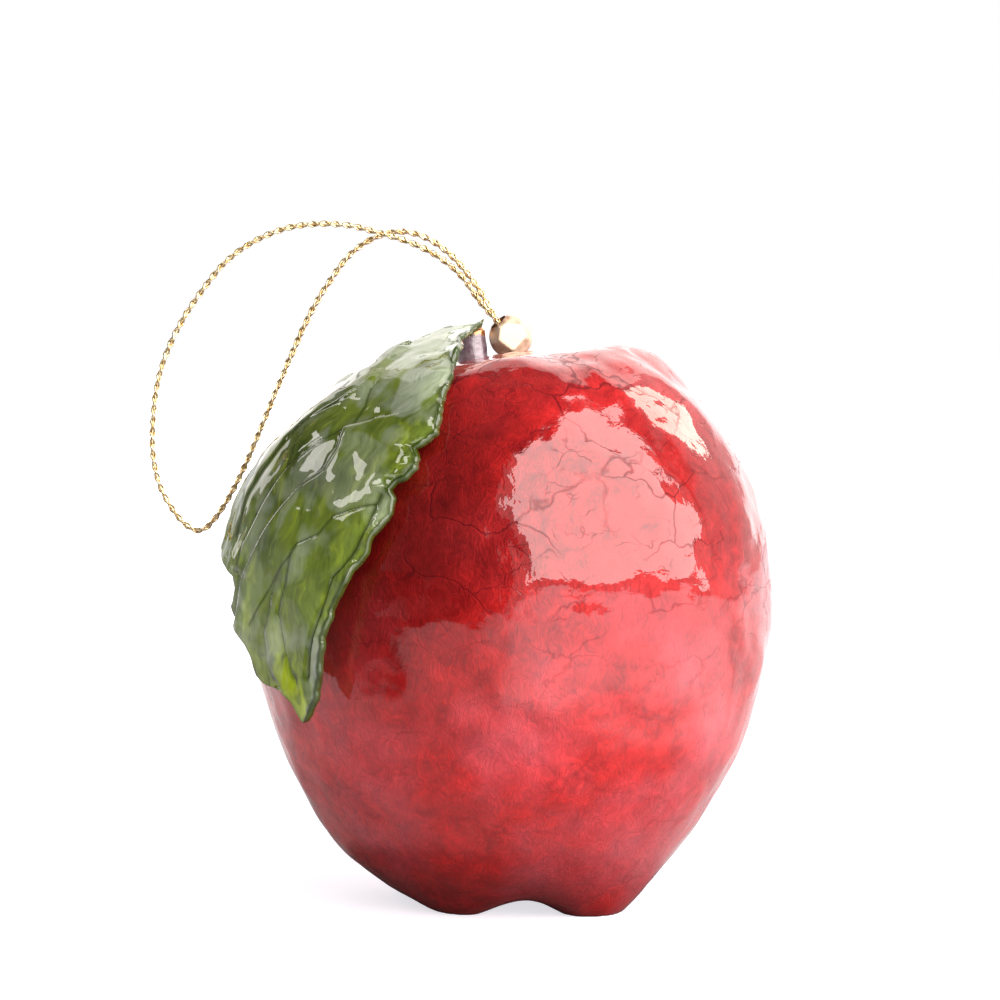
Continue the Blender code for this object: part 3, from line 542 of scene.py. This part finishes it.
def to_line(line):
    """Distances of the leaf's points to a line on it in millimetres, positive to its right."""
    nearest = np.full(len(far), math.inf)
    for (from_far, from_off), (to_far, to_off) in zip(line, line[1:]):
        run_far, run_off = to_far - from_far, to_off - from_off
        ahead, aside = far - from_far, off - from_off
        share = (ahead * run_far + aside * run_off) / (run_far ** 2 + run_off ** 2)
        share = np.clip(share, 0.0, 1.0)
        apart = np.hypot(ahead - share * run_far, aside - share * run_off)
        apart = np.where(run_far * aside - run_off * ahead > 0, apart, -apart)
        nearest = np.where(np.abs(apart) < np.abs(nearest), apart, nearest)
    return nearest


def hump(apart, width):
    """A smooth rise to 1 where a line is, that fades over its width to both sides."""
    return np.exp(-(apart / width) ** 2)


def along_rib(polars):
    """Directions of the rib from the apple's centre at angles from the top."""
    out = np.sin(polars)
    return np.stack([out * math.cos(LEAF_AZIMUTH), out * math.sin(LEAF_AZIMUTH), np.cos(polars)],
                    axis=1)


rib_polars, rib_rises = np.array(LEAF_RIB).T
rib_polars = np.radians(rib_polars)
rib_radii = apple_radius(along_rib(rib_polars)) + rib_rises * MM
rib_steps = np.diff(rib_polars) * (rib_radii[1:] + rib_radii[:-1]) / 2
rib_runs = np.concatenate([[0.0], np.cumsum(rib_steps)])

leaf_bm = bmesh.new()
bmesh.ops.create_grid(leaf_bm, x_segments=LEAF_ROWS, y_segments=LEAF_COLUMNS, size=1.0)
grid = np.array([vertex.co for vertex in leaf_bm.verts])
distance, across = (grid[:, 0] + 1) / 2 * LEAF_LENGTH, grid[:, 1]
right, left = leaf_reach(LEAF_RIGHT, distance, 8), leaf_reach(LEAF_LEFT, distance, 9)
side = (right - left) / 2 + across * (right + left) / 2
far, off = distance / MM, side / MM
polar, radius = np.interp(distance, rib_runs, rib_polars), np.interp(distance, rib_runs, rib_radii)
sideways = np.array([-math.sin(LEAF_AZIMUTH), math.cos(LEAF_AZIMUTH), 0.0])

begun = ramp(far, 0.0, LEAF_NECK)
fold, gutter, high_fold = to_line(FOLD), to_line(GUTTER), to_line(HIGH_FOLD)
lower_fold, valley = to_line(LOWER_FOLD), to_line(LIP_VALLEY)
ragged = 1.0 + bumps([(place, 0.0, 0.0) for place in distance], RAGS, 11) / MM
lip = ramp(right - side, LIP_WIDTH, 0.0) ** 2 * LEAF_LIP * ragged
tuck = ramp(off, 0.0, -24.0) ** 2 * LEAF_TUCK * ramp(far, 58.0, 50.0)
steep = 1.5 + 5.5 * ramp(far, 30.0, 36.0)
forms = 0.8 * np.where(fold > 0, hump(fold, steep), hump(fold, 6.0))
forms += 0.5 * np.tanh(gutter / 0.35) * hump(gutter, 3.4)
forms -= 0.15 * np.tanh(high_fold / 0.4) * hump(high_fold, 3.0)
forms += 0.35 * np.tanh(lower_fold / 0.4) * hump(lower_fold, 3.0)
forms -= 0.55 * hump(valley, 0.6) * ragged
# Painted shade: dark lines in the gutter, the lip's valley and the folds, and along both edges of
# the leaf, with the veins' own dark colour
veins_and_shaded_grooves = hump(gutter, 0.5) + hump(valley, 0.6) + hump(high_fold, 0.45)
veins_and_shaded_grooves += 0.6 * hump(lower_fold, 0.4)
for vein in VEINS:
    to_vein = to_line(vein)
    forms -= 0.16 * hump(to_vein, 0.28)
    veins_and_shaded_grooves += hump(to_vein, 0.26)
veins_and_shaded_grooves += hump((right - side) / MM, 0.45) + 0.7 * hump((side + left) / MM, 0.4)
lower_part = ramp(far, 42.0, 52.0)
level = np.zeros_like(side)
flat_places = np.stack([distance, side, level], axis=1)
along_places = np.stack([distance * 0.13 + side * 0.02, side + distance * 0.25, level], axis=1)
pleats = bumps(along_places, PLEATS, 3) * ramp(gutter, 1.5, -1.5) * lower_part
strokes = bumps(along_places, STROKES, 4) * lower_part
puckers = bumps(flat_places, PUCKERS, 6)
lift = (lip - tuck) * begun + (forms * MM + pleats + strokes + puckers) * begun ** 2

turn = side / radius
leaf = along_rib(polar) * np.cos(turn)[:, None] + sideways * np.sin(turn)[:, None]
leaf = leaf * (radius + lift)[:, None] + np.array([LEAF_ROOT_X, 0.0, 0.0])
lengths = np.linalg.norm(leaf, axis=1)
least = apple_radius(leaf) + LEAF_CLEARANCE + LEAF_THICKNESS / 2
room = (lengths - least) / LEAF_EASE
raised = least + LEAF_EASE * np.where(room > 1.0, room, np.exp(np.minimum(room - 1.0, 0.0)))
leaf = leaf * (raised / lengths)[:, None] + np.array(apple_centre)
place_vertices(leaf_bm, leaf)
leaf_uv = leaf_bm.loops.layers.uv.new("along_leaf")
drifting = bumps(flat_places, [(5.0, 4.0), (2.0, 1.5)], 12) / MM
# Painted reflections: shares of pale colour where the gloss would mirror bright light
painted_reflections = level
for along, beside, long, broad, strength in LEAF_PAINTED_REFLECTIONS:
    spread = np.hypot((far - along) / long, (off - beside) / broad)
    painted_reflections = np.maximum(painted_reflections, strength * ramp(4.0 * spread - drifting, 4.0, 3.0))

# Painted light: the leaf is painted lighter towards the tip, on the lower left and along the rolled
# edge, and darker in the middle
painted_lightening = 0.65 * ramp(far, 50.0, 74.0)
painted_lightening += 0.5 * ramp(off, -3.0, -8.0) * ramp(far, 38.0, 46.0)
painted_lightening += 0.8 * ramp(right - side, LIP_WIDTH, 0.0)
painted_lightening -= 0.25 * ramp(np.hypot((far - 36.0) / 13.0, (off - 5.0) / 14.0), 1.0, 0.75)
keep_values(leaf_bm, "vein_and_groove_shade", 0.95 * np.minimum(veins_and_shaded_grooves, 1.0))
keep_values(leaf_bm, "painted_reflection", 1.7 * painted_reflections)
keep_values(leaf_bm, "painted_leaf_light", 0.95 + painted_lightening)
leaf_bm.verts.index_update()
for face in leaf_bm.faces:
    for loop in face.loops:
        loop[leaf_uv].uv = (distance[loop.vert.index], side[loop.vert.index])
bmesh.ops.recalc_face_normals(leaf_bm, faces=leaf_bm.faces[:])

# Green-dyed shell under a thick pour of lacquer: olive with dark strokes along the leaf, dark
# veins, yellow where the shell is thin, pale painted reflections of the gloss, painted light and
# shade, painted shade in the grooves and along the edges, and a smooth wet gloss over it all
green, shader, place = new_material("green-dyed shell under thick lacquer")
on_leaf = add_node(green, "UVMap", {}, uv_map="along_leaf")
on_leaf = add_node(green, "VectorMath", {0: on_leaf, "Scale": 1 / MM}, operation="SCALE")
wavy = add_node(green, "TexNoise", {"Vector": on_leaf, "Scale": 0.14}, "Color")
wavy = add_node(green, "VectorMath", {
    0: wavy, 1: (6.0, 6.0, 6.0), 2: on_leaf}, operation="MULTIPLY_ADD")
stretched = add_node(green, "Mapping", {
    "Vector": wavy, "Rotation": (0.0, 0.0, math.radians(14.0)), "Scale": (0.16, 1.0, 1.0)})
strokes = add_node(green, "TexNoise", {
    "Vector": stretched, "Scale": 0.9, "Detail": 7.0, "Roughness": 0.62})
clouds = add_node(green, "TexNoise", {"Vector": place, "Scale": 0.12, "Detail": 4.0})
deep = add_node(green, "Math", {0: clouds, 1: 0.75}, operation="MULTIPLY")
deep = add_node(green, "Math", {0: strokes, 1: 0.45, 2: deep}, operation="MULTIPLY_ADD")
deep = add_node(green, "MapRange", {"Value": deep, "From Min": 0.38, "From Max": 0.68})
tone = add_node(green, "Mix", {
    "Factor": deep, "A": linear(LEAF_DEEP), "B": linear(LEAF_OLIVE)}, data_type="RGBA")
thin = add_node(green, "TexNoise", {"Vector": stretched, "Scale": 0.45, "Detail": 5.0})
tip = add_node(green, "SeparateXYZ", {"Vector": on_leaf}, "X")
tip = add_node(green, "MapRange", {"Value": tip, "From Min": 60.0, "From Max": 80.0, "To Max": 0.2})
thin = add_node(green, "Math", {0: thin, 1: tip}, operation="ADD")
thin = add_node(green, "MapRange", {
    "Value": thin, "From Min": 0.58, "From Max": 0.78, "To Max": 0.7})
tone = add_node(green, "Mix", {
    "Factor": thin, "A": tone, "B": linear(LEAF_YELLOW)}, data_type="RGBA")
milky_and_reflection = add_node(green, "TexNoise", {"Vector": on_leaf, "Scale": 0.12, "Detail": 3.0})
milky_and_reflection = add_node(green, "MapRange", {
    "Value": milky_and_reflection, "From Min": 0.5, "From Max": 0.62, "To Max": 0.4})
painted_reflection, painted_leaf_light, vein_and_groove_shade = (add_node(green, "Attribute", {}, "Fac", attribute_name=name)
                          for name in ("painted_reflection", "painted_leaf_light", "vein_and_groove_shade"))
# Painted reflection: the pale colour of the random milky places and of the painted reflections
painted_reflection = add_node(green, "Math", {0: painted_reflection, 1: strokes}, operation="MULTIPLY")
milky_and_reflection = add_node(green, "Math", {0: milky_and_reflection, 1: painted_reflection}, operation="MAXIMUM")
tone = add_node(green, "Mix", {
    "Factor": milky_and_reflection, "A": tone, "B": linear(LEAF_MILK_AND_REFLECTION)}, data_type="RGBA")
# Painted light and shade scale the leaf's colour
tone = add_node(green, "VectorMath", {0: tone, "Scale": painted_leaf_light}, operation="SCALE")
# Painted shade in the grooves and along the edges, with the veins' own dark colour
tone = add_node(green, "Mix", {
    "Factor": vein_and_groove_shade, "A": tone, "B": linear(LEAF_DEEP)}, data_type="RGBA")
leaf_relief = add_node(green, "Bump", {"Height": strokes, "Distance": 0.2 * MM})
poured = add_node(green, "TexNoise", {"Vector": on_leaf, "Scale": 0.22, "Detail": 1.2})
poured_relief = add_node(green, "Bump", {"Height": poured, "Distance": 0.35 * MM})
fill_inputs(shader, {
    "Base Color": tone, "Roughness": 0.6, "Specular IOR Level": 0.0, "Normal": leaf_relief,
    "Coat Weight": 1.0, "Coat Roughness": 0.04, "Coat IOR": COAT_IOR, "Coat Normal": poured_relief})
leaf_piece = finish_mesh("lacquered_leaf", leaf_bm, green)
wall = leaf_piece.modifiers.new("thickness", "SOLIDIFY")
wall.thickness = LEAF_THICKNESS
wall.offset = 0.0
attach(leaf_piece, "apple")
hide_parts("leaf")


# The bead: a wooden ball with a bore, covered with champagne gold leaf whose folds have left small
# flat facets. The cord is threaded through it and it sits in the hollow beside the stem.
BEAD_RADIUS = 3.45 * MM
BEAD_BORE_RADIUS = 1.5 * MM
BORE_AZIMUTH, BORE_POLAR = 196.0, 43.0
BEAD_FACETS = 12
FACET_DEPTH = 0.1
GOLD_PAINTED_HIGHLIGHT, GOLD_BEIGE, GOLD_TAN, GROUND_BROWN = "#ecdcba", "#cbb79e", "#a8917a", "#744524"

# The facets at the front: direction from the bead's centre, and depth as a share of its radius
FRONT_FACETS = [
    ((0.04, -0.97, 0.04), 0.22), ((0.10, -0.62, 0.78), 0.07), ((0.86, -0.50, 0.30), 0.07),
    ((0.55, -0.72, -0.42), 0.09), ((-0.42, -0.72, -0.55), 0.10), ((-0.80, -0.58, 0.10), 0.09),
    ((0.80, -0.25, 0.60), 0.04),
]
SEAM_SHARE = 0.012
MOUTH_RUB = 0.9 * MM
LEAST_FACING, UNCUT = 0.5, 9.0
BEAD_STEPS, BEAD_RINGS = 96, 60

bore = unit(BORE_AZIMUTH, BORE_POLAR)
edge = math.asin(BEAD_BORE_RADIUS / BEAD_RADIUS)
bead_profile = [(BEAD_RADIUS * math.sin(angle), BEAD_RADIUS * math.cos(angle))
                for angle in np.linspace(edge, math.pi - edge, BEAD_RINGS)]
bead_bm = turned(bead_profile, BEAD_STEPS, 0)
bead_places = np.array([vertex.co for vertex in bead_bm.verts])
chance = random.Random(4)
outward = bead_places / np.linalg.norm(bead_places, axis=1, keepdims=True)
flat = np.full(len(outward), UNCUT)
bead_turn = Vector((0.0, 0.0, 1.0)).rotation_difference(bore).to_matrix()
facets = [(bead_turn.inverted() @ Vector(facet).normalized(), depth)
          for facet, depth in FRONT_FACETS]
for _ in range(BEAD_FACETS):
    facet = Vector([chance.gauss(0.0, 1.0) for _ in range(3)]).normalized()
    if (bead_turn @ facet).y > 0.1:
        facets.append((facet, FACET_DEPTH * chance.uniform(0.6, 1.2)))
second = flat.copy()
for facet, depth in facets:
    facing = outward @ np.array(facet)
    cut = (1.0 - depth) / np.maximum(facing, LEAST_FACING)
    cut = np.where(facing > LEAST_FACING, cut, UNCUT)
    flat, second = np.minimum(flat, cut), np.minimum(second, np.maximum(flat, cut))
front_reach = outward @ np.array(facets[0][0])
front_reach = (1.0 - FRONT_FACETS[0][1]) / np.maximum(front_reach, LEAST_FACING)
on_front = (np.abs(front_reach - flat) < 0.001) * (flat < 1.0)
near_seam = ramp(np.minimum(second, 1.0) - flat, SEAM_SHARE, 0.0) * (flat < 1.0)
on_ball = np.hypot(bead_places[:, 0], bead_places[:, 1]) > BEAD_BORE_RADIUS * 1.001
bead_places *= np.where(on_ball, np.minimum(flat, 1.0), 1.0)[:, None]
place_vertices(bead_bm, bead_places)
from_bore = np.hypot(bead_places[:, 0], bead_places[:, 1]) - BEAD_BORE_RADIUS
mouth = hump(from_bore, MOUTH_RUB)
keep_values(bead_bm, "rubbed", np.maximum(near_seam, mouth))
# The front facet gets a painted highlight
keep_values(bead_bm, "painted_highlight_facet", on_front)
bmesh.ops.transform(bead_bm, matrix=Matrix.Translation(pivot) @ bead_turn.to_4x4(),
                    verts=bead_bm.verts[:])

# Champagne gold leaf: beige and tan where the leaf lies double, cream as a painted highlight on its
# front facet, with the brown ground rubbed through at the folds and round the mouths of the bore
gold, shader, place = new_material("champagne gold leaf")
worn = add_node(gold, "TexNoise", {"Vector": place, "Scale": 0.5, "Detail": 5.0})
beige = add_node(gold, "MapRange", {"Value": worn, "From Min": 0.42, "From Max": 0.62})
tone = add_node(gold, "Mix", {
    "Factor": beige, "A": linear(GOLD_BEIGE), "B": linear(GOLD_TAN)}, data_type="RGBA")
painted_highlight_facet = add_node(gold, "Attribute", {}, "Fac", attribute_name="painted_highlight_facet")
tone = add_node(gold, "Mix", {
    "Factor": painted_highlight_facet, "A": tone, "B": linear(GOLD_PAINTED_HIGHLIGHT)}, data_type="RGBA")
rubbed = add_node(gold, "Attribute", {}, "Fac", attribute_name="rubbed")
rubbed = add_node(gold, "Math", {0: rubbed, 1: worn}, operation="MULTIPLY")
rubbed = add_node(gold, "MapRange", {
    "Value": rubbed, "From Min": 0.25, "From Max": 0.5, "To Max": 0.85})
tone = add_node(gold, "Mix", {
    "Factor": rubbed, "A": tone, "B": linear(GROUND_BROWN)}, data_type="RGBA")
dents = add_node(gold, "Bump", {"Height": worn, "Distance": 0.05 * MM, "Strength": 0.6})
fill_inputs(shader, {"Base Color": tone, "Metallic": 0.12, "Roughness": 0.25, "Normal": dents})
bead_piece = finish_mesh("foiled_bead", bead_bm, gold, sharp=45.0)
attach(bead_piece, "loop")
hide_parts("gold_bead")


# The cord: four plies wrapped in gold foil, braided round a dark core yarn, about 1 mm thick. Its
# loop has fallen to the left; both ends go down through the bead to a knot under the core's top.
CORD_DIAMETER = 1.05 * MM
STRAND_SPACING = 1.3 * MM
STRAND_START, STRAND_EXIT = -0.55 * BEAD_RADIUS, 0.95 * BEAD_RADIUS
PLY_RADIUS = 0.155 * MM
PLY_SWAY = 0.05 * MM
CORE_YARN_RADIUS, CORE_YARN_EVERY = 0.27 * MM, 8
BRAID_PITCH = 3.6 * MM
PLY_STEP = 0.15 * MM
YARN_BROWN, YARN_LINT, FOIL_PALE, FOIL_WARM = "#20180f", "#4a3822", "#e8d9b4", "#a98a55"
CARD_DARK, CARD_LIGHT = "#7d7970", "#a39e93"

# The loop's route from the bead's mouth and back to it: x, y, z in millimetres
# from the bead's centre
LOOP_ROUTE = [
    (-5.1, -1.0, 5.8), (-7.2, -1.0, 8.8), (-9.7, -1.1, 11.3), (-12.9, -1.1, 13.4),
    (-16.5, -1.2, 15.0), (-20.2, -1.3, 16.1), (-25.4, -1.5, 17.4), (-31.0, -1.7, 17.6),
    (-36.0, -2.0, 16.7), (-40.9, -2.2, 14.5), (-44.9, -2.4, 11.4), (-48.2, -2.5, 7.4),
    (-51.3, -2.6, 2.8), (-53.7, -2.7, -2.0), (-55.4, -2.8, -7.4), (-56.1, -2.8, -13.0),
    (-56.2, -2.8, -18.0), (-55.3, -2.7, -22.8), (-53.4, -2.7, -26.7), (-51.1, -2.6, -29.5),
    (-49.0, -2.6, -30.4), (-47.2, -2.5, -29.3), (-45.0, -2.4, -26.3), (-42.9, -2.2, -22.5),
    (-40.9, -1.9, -18.2), (-38.9, -1.6, -13.4), (-36.8, -1.3, -8.3), (-34.8, -1.0, -3.6),
    (-32.9, -0.7, 0.7), (-31.0, -0.4, 4.6), (-28.8, -0.2, 8.2), (-26.1, 0.0, 11.9),
    (-23.2, 0.1, 14.5), (-20.0, 0.2, 16.0), (-16.4, 0.2, 16.4), (-12.8, 0.2, 15.2),
    (-9.6, 0.3, 12.9), (-7.1, 0.3, 10.2), (-4.7, 0.3, 6.8),
]


def steady_frame(path):
    """Two unit vectors across the path at each of its points, which never twist about it."""
    ahead = np.gradient(path, axis=0)
    ahead /= np.linalg.norm(ahead, axis=1, keepdims=True)
    across = np.cross(ahead[0], (0.0, 1.0, 0.3))
    first = []
    for direction in ahead:
        across = across - direction * (across @ direction)
        across /= np.linalg.norm(across)
        first.append(across)
    first = np.array(first)
    return first, np.cross(ahead, first)


def braid(name, route, *materials):
    """A braided cord along a route of points, and the finer path that it follows."""
    path, length = smooth_curve(route, PLY_STEP)
    first, second = steady_frame(path)
    run = np.linspace(0.0, length, len(path))
    curve = bpy.data.curves.new(name, "CURVE")
    curve.dimensions = "3D"
    curve.bevel_depth = PLY_RADIUS
    curve.bevel_resolution = 1
    curve.use_fill_caps = True
    lines = [(path[::CORE_YARN_EVERY], CORE_YARN_RADIUS / PLY_RADIUS, 1)]
    for way in (1, -1):
        under = 1 - way * np.cos(4 * math.pi * run / BRAID_PITCH)
        offset = CORD_DIAMETER / 2 - PLY_RADIUS - PLY_SWAY * under
        for start in (0.0, math.pi):
            turn = start + way * math.tau * run / BRAID_PITCH
            aside = first * np.cos(turn)[:, None] + second * np.sin(turn)[:, None]
            lines.append((path + aside * offset[:, None], 1.0, 0))
    for points, radius, slot in lines:
        spline = curve.splines.new("POLY")
        spline.points.add(len(points) - 1)
        spline.material_index = slot
        spline.use_smooth = True
        for knot, place in zip(spline.points, points):
            knot.co = (*place, 1.0)
            knot.radius = radius
    for material in materials:
        curve.materials.append(material)
    holder = add_object(name + "_line", curve)
    bpy.context.view_layer.update()
    depsgraph = bpy.context.evaluated_depsgraph_get()
    mesh = bpy.data.meshes.new_from_object(holder.evaluated_get(depsgraph))
    bpy.data.objects.remove(holder)
    bm = bmesh.new()
    bm.from_mesh(mesh)
    bmesh.ops.remove_doubles(bm, verts=bm.verts[:], dist=0.001 * MM)
    return finish_mesh(name, bm, *materials), path


# Foil-wrapped thread glints pale and warm by turns, and the yarn between the plies is dark lint
foil, shader, _, _, tone = two_tone("gold foil thread", FOIL_WARM, FOIL_PALE, 2.2, 2.0, 0.4, 0.6)
fill_inputs(shader, {"Base Color": tone, "Metallic": 0.9, "Roughness": 0.3})
yarn, shader, _, _, tone = two_tone("dark core yarn", YARN_BROWN, YARN_LINT, 5.0, 2.0)
fill_inputs(shader, {"Base Color": tone, "Roughness": 0.9})

front = Vector((0.0, 1.0, 0.0)).cross(bore).cross(bore).normalized() * STRAND_SPACING / 2
lead_in = [bore * STRAND_START + front, front, bore * STRAND_EXIT + front]
lead_out = [point - front * 2 for point in reversed(lead_in)]
loop_points = lead_in + [Vector(point) * MM for point in LOOP_ROUTE] + lead_out
loop_piece, loop_path = braid("braided_loop", [pivot + point for point in loop_points], foil, yarn)
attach(loop_piece, "loop")
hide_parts("hanging_loop")
dress(foil, "gold_cord", "cord_lead_front", "cord_lead_rear", "cord_knot")

# Grey card: raw pressed board, matt and a little mottled
card, shader, _, _, tone = two_tone("grey card", CARD_DARK, CARD_LIGHT, 3.0, 5.0)
fill_inputs(shader, {"Base Color": tone, "Roughness": 0.95})
dress(card, "grey_card", "anchor_washer")


# The studio: a white floor and backdrop, a large soft light at the upper right in front, another
# with a warm lamp behind, windows on the left, and a dark room on the left and behind the camera.
FRAME_WIDTH = 0.158
CAMERA_TARGET = Vector((pivot.x - 1.738 * MM, 0.0, 63.3 * MM))
CAMERA_ELEVATION = math.radians(4.0)
CAMERA_LENS = 120.0
SENSOR_WIDTH = 36.0
FLOOR_RADIUS = 3.0
WHITE_LIT, WHITE_UNLIT = (0.48, 0.48, 0.5, 1.0), (0.04, 0.04, 0.04, 1.0)

camera_data = bpy.data.cameras.new("camera")
camera_data.lens = CAMERA_LENS
camera_data.sensor_width = SENSOR_WIDTH
camera_data.clip_start = 0.01
camera = add_object("camera", camera_data)
camera_way = Vector((0.0, -math.cos(CAMERA_ELEVATION), math.sin(CAMERA_ELEVATION)))
camera.location = CAMERA_TARGET + camera_way * FRAME_WIDTH * CAMERA_LENS / SENSOR_WIDTH
camera.rotation_euler = (math.pi / 2 - CAMERA_ELEVATION, 0.0, 0.0)
bpy.context.scene.camera = camera

# Each light: its azimuth to the right of the camera and its elevation as seen from the apple, its
# distance, how far it looks down, how far it is rolled, its width and height, radiance and colour
LIGHTS = {
    "key_softbox": (49, 49.6, 1.853, 0, 0, 2.28, 2.58, 7.6, "#fff8f5"),
    "softbox_halo": (49, 49.6, 1.853, 0, 0, 2.8, 3, 0.85, "#fff8f5"),
    "back_softbox": (179, 47, 1.9, 47, 0, 2, 1.5, 1.6, "#fff8f2"),
    "back_lamp": (128.5, 35.5, 1.5, 35.5, 23, 0.2, 0.62, 8, "#ffeedd"),
    "back_left_window": (-155, 15, 1.5, 15, 0, 1.1, 0.4, 1.9, "#fff8f5"),
    "left_window": (-86, 40, 1.5, 40, 0, 0.3, 0.38, 7, "#fff8f5"),
    "far_left_window": (-109, 39, 1.5, 39, 0, 0.16, 0.4, 6.5, "#fff8f5"),
}
for name, (turn, rise, away, tilt, lean, width, height, radiance, colour) in LIGHTS.items():
    way, facing = unit(turn - 90.0, 90.0 - rise), unit(turn - 90.0, 90.0 - tilt)
    light_data = bpy.data.lights.new(name, "AREA")
    light_data.shape = "RECTANGLE"
    light_data.size = width
    light_data.size_y = height
    light_data.energy = radiance * math.pi * width * height
    light_data.color = linear(colour)[:3]
    light = add_object(name, light_data)
    light.location = apple_centre + way * away
    rolled = Quaternion((0.0, 0.0, 1.0), math.radians(lean))
    light.rotation_euler = (facing.to_track_quat("Z", "Y") @ rolled).to_euler()
    light.visible_camera = False

# A matt white table top that glows with painted light, brighter at the right in front and far off
# where it meets the backdrop. Painted shade darkens it near the apple, under it, and on the left.
# Distances from the apple's foot are in millimetres, and directions are azimuths to the right of
# the camera.
floor_bm = bmesh.new()
bmesh.ops.create_circle(floor_bm, cap_ends=True, segments=96, radius=FLOOR_RADIUS)
white, shader, spot = new_material("matt white table with painted glow")
away = add_node(white, "VectorMath", {0: spot}, "Value", operation="LENGTH")
clear = add_node(white, "MapRange", {
    "Value": away, "From Min": 55.0, "From Max": 110.0}, interpolation_type="SMOOTHSTEP")
spot = add_node(white, "VectorMath", {0: spot}, operation="NORMALIZE")
towards = {}
for name, turn in (("right", 50.0), ("left", -32.0), ("far left", -58.0), ("back", 155.0)):
    towards[name] = add_node(white, "VectorMath", {
        0: spot, 1: unit(turn - 90.0, 90.0)}, "Value", operation="DOT_PRODUCT")
bright = add_node(white, "MapRange", {
    "Value": towards["right"], "From Min": 0.45, "From Max": 0.85, "To Max": 2.1},
    interpolation_type="SMOOTHSTEP")
bright = add_node(white, "Math", {0: bright, 1: clear}, operation="MULTIPLY")
distant = add_node(white, "MapRange", {"Value": away, "From Min": 120.0, "From Max": 400.0})
behind = add_node(white, "MapRange", {
    "Value": towards["back"], "From Min": -0.4, "From Max": 0.9, "To Min": 0.2})
distant = add_node(white, "Math", {0: distant, 1: behind}, operation="MULTIPLY")
glow = add_node(white, "Math", {0: bright, 1: distant}, operation="MAXIMUM")
seen = add_node(white, "LightPath", {}, "Is Camera Ray")
near = add_node(white, "Math", {0: clear, 1: -0.3, 2: 0.3}, operation="MULTIPLY_ADD")
under = add_node(white, "MapRange", {
    "Value": away, "From Min": 38.0, "From Max": 28.0, "To Max": 0.8})
unlit = add_node(white, "Math", {0: near, 1: under}, operation="MAXIMUM")
for name, low, high, first, last in (
        ("left", 0.7, 0.9, 280.0, 420.0), ("far left", 0.955, 0.985, 90.0, 130.0)):
    beyond = add_node(white, "MapRange", {
        "Value": away, "From Min": first, "From Max": last}, interpolation_type="SMOOTHSTEP")
    shaded = add_node(white, "MapRange", {
        "Value": towards[name], "From Min": low, "From Max": high}, interpolation_type="SMOOTHSTEP")
    shaded = add_node(white, "Math", {0: shaded, 1: beyond}, operation="MULTIPLY")
    unlit = add_node(white, "Math", {0: unlit, 1: shaded}, operation="MAXIMUM")
# Camera rays see no painted shade and an extra painted glow, so the table looks white to them
unlit = add_node(white, "Mix", {"Factor": seen, "A": unlit, "B": 0.0})
glow = add_node(white, "Mix", {"Factor": unlit, "A": glow, "B": 0.0})
glow = add_node(white, "Math", {0: seen, 1: 0.7, 2: glow}, operation="MULTIPLY_ADD")
tone = add_node(white, "Mix", {"Factor": unlit, "A": WHITE_LIT, "B": WHITE_UNLIT}, data_type="RGBA")
fill_inputs(shader, {
    "Base Color": tone, "Roughness": 0.9, "Specular IOR Level": 0.0,
    "Emission Color": (1.0, 0.98, 1.03, 1.0), "Emission Strength": glow})
floor = finish_mesh("floor", floor_bm, white)

# The room's light: a white backdrop behind, a brighter sheet beside it, a dim glow low on the left,
# and the rest dark. The camera sees it all as white.
world = bpy.data.worlds.new("studio")
world.use_nodes = True
bpy.context.scene.world = world
background = world.node_tree.nodes["Background"]
way = add_node(world, "TexCoord", {}, "Generated")
for name, turn in (("backdrop", 155.0), ("low left", -95.0), ("sheet", 168.0)):
    towards[name] = add_node(world, "VectorMath", {
        0: way, 1: unit(turn - 90.0, 90.0)}, "Value", operation="DOT_PRODUCT")
backdrop = add_node(world, "MapRange", {
    "Value": towards["backdrop"], "From Min": 0.45, "From Max": 0.65},
    interpolation_type="SMOOTHSTEP")
height = add_node(world, "SeparateXYZ", {"Vector": way}, "Z")
low = add_node(world, "MapRange", {
    "Value": height, "From Min": 0.45, "From Max": 0.0, "To Max": 0.5},
    interpolation_type="SMOOTHSTEP")
sideways = add_node(world, "MapRange", {
    "Value": towards["low left"], "From Min": 0.6, "From Max": 0.9})
dim = add_node(world, "Math", {0: low, 1: sideways, 2: 0.1}, operation="MULTIPLY_ADD")
room = add_node(world, "Mix", {"Factor": backdrop, "A": dim, "B": 0.95})
sheet = add_node(world, "MapRange", {
    "Value": towards["sheet"], "From Min": 0.89, "From Max": 0.92}, interpolation_type="SMOOTHSTEP")
room = add_node(world, "Mix", {"Factor": sheet, "A": room, "B": 2.5})
seen = add_node(world, "LightPath", {}, "Is Camera Ray")
room = add_node(world, "Mix", {"Factor": seen, "A": room, "B": 1.0})
fill_inputs(background, {"Color": (1.0, 1.0, 1.0, 1.0), "Strength": room})
bpy.context.scene.view_settings.view_transform = "Standard"
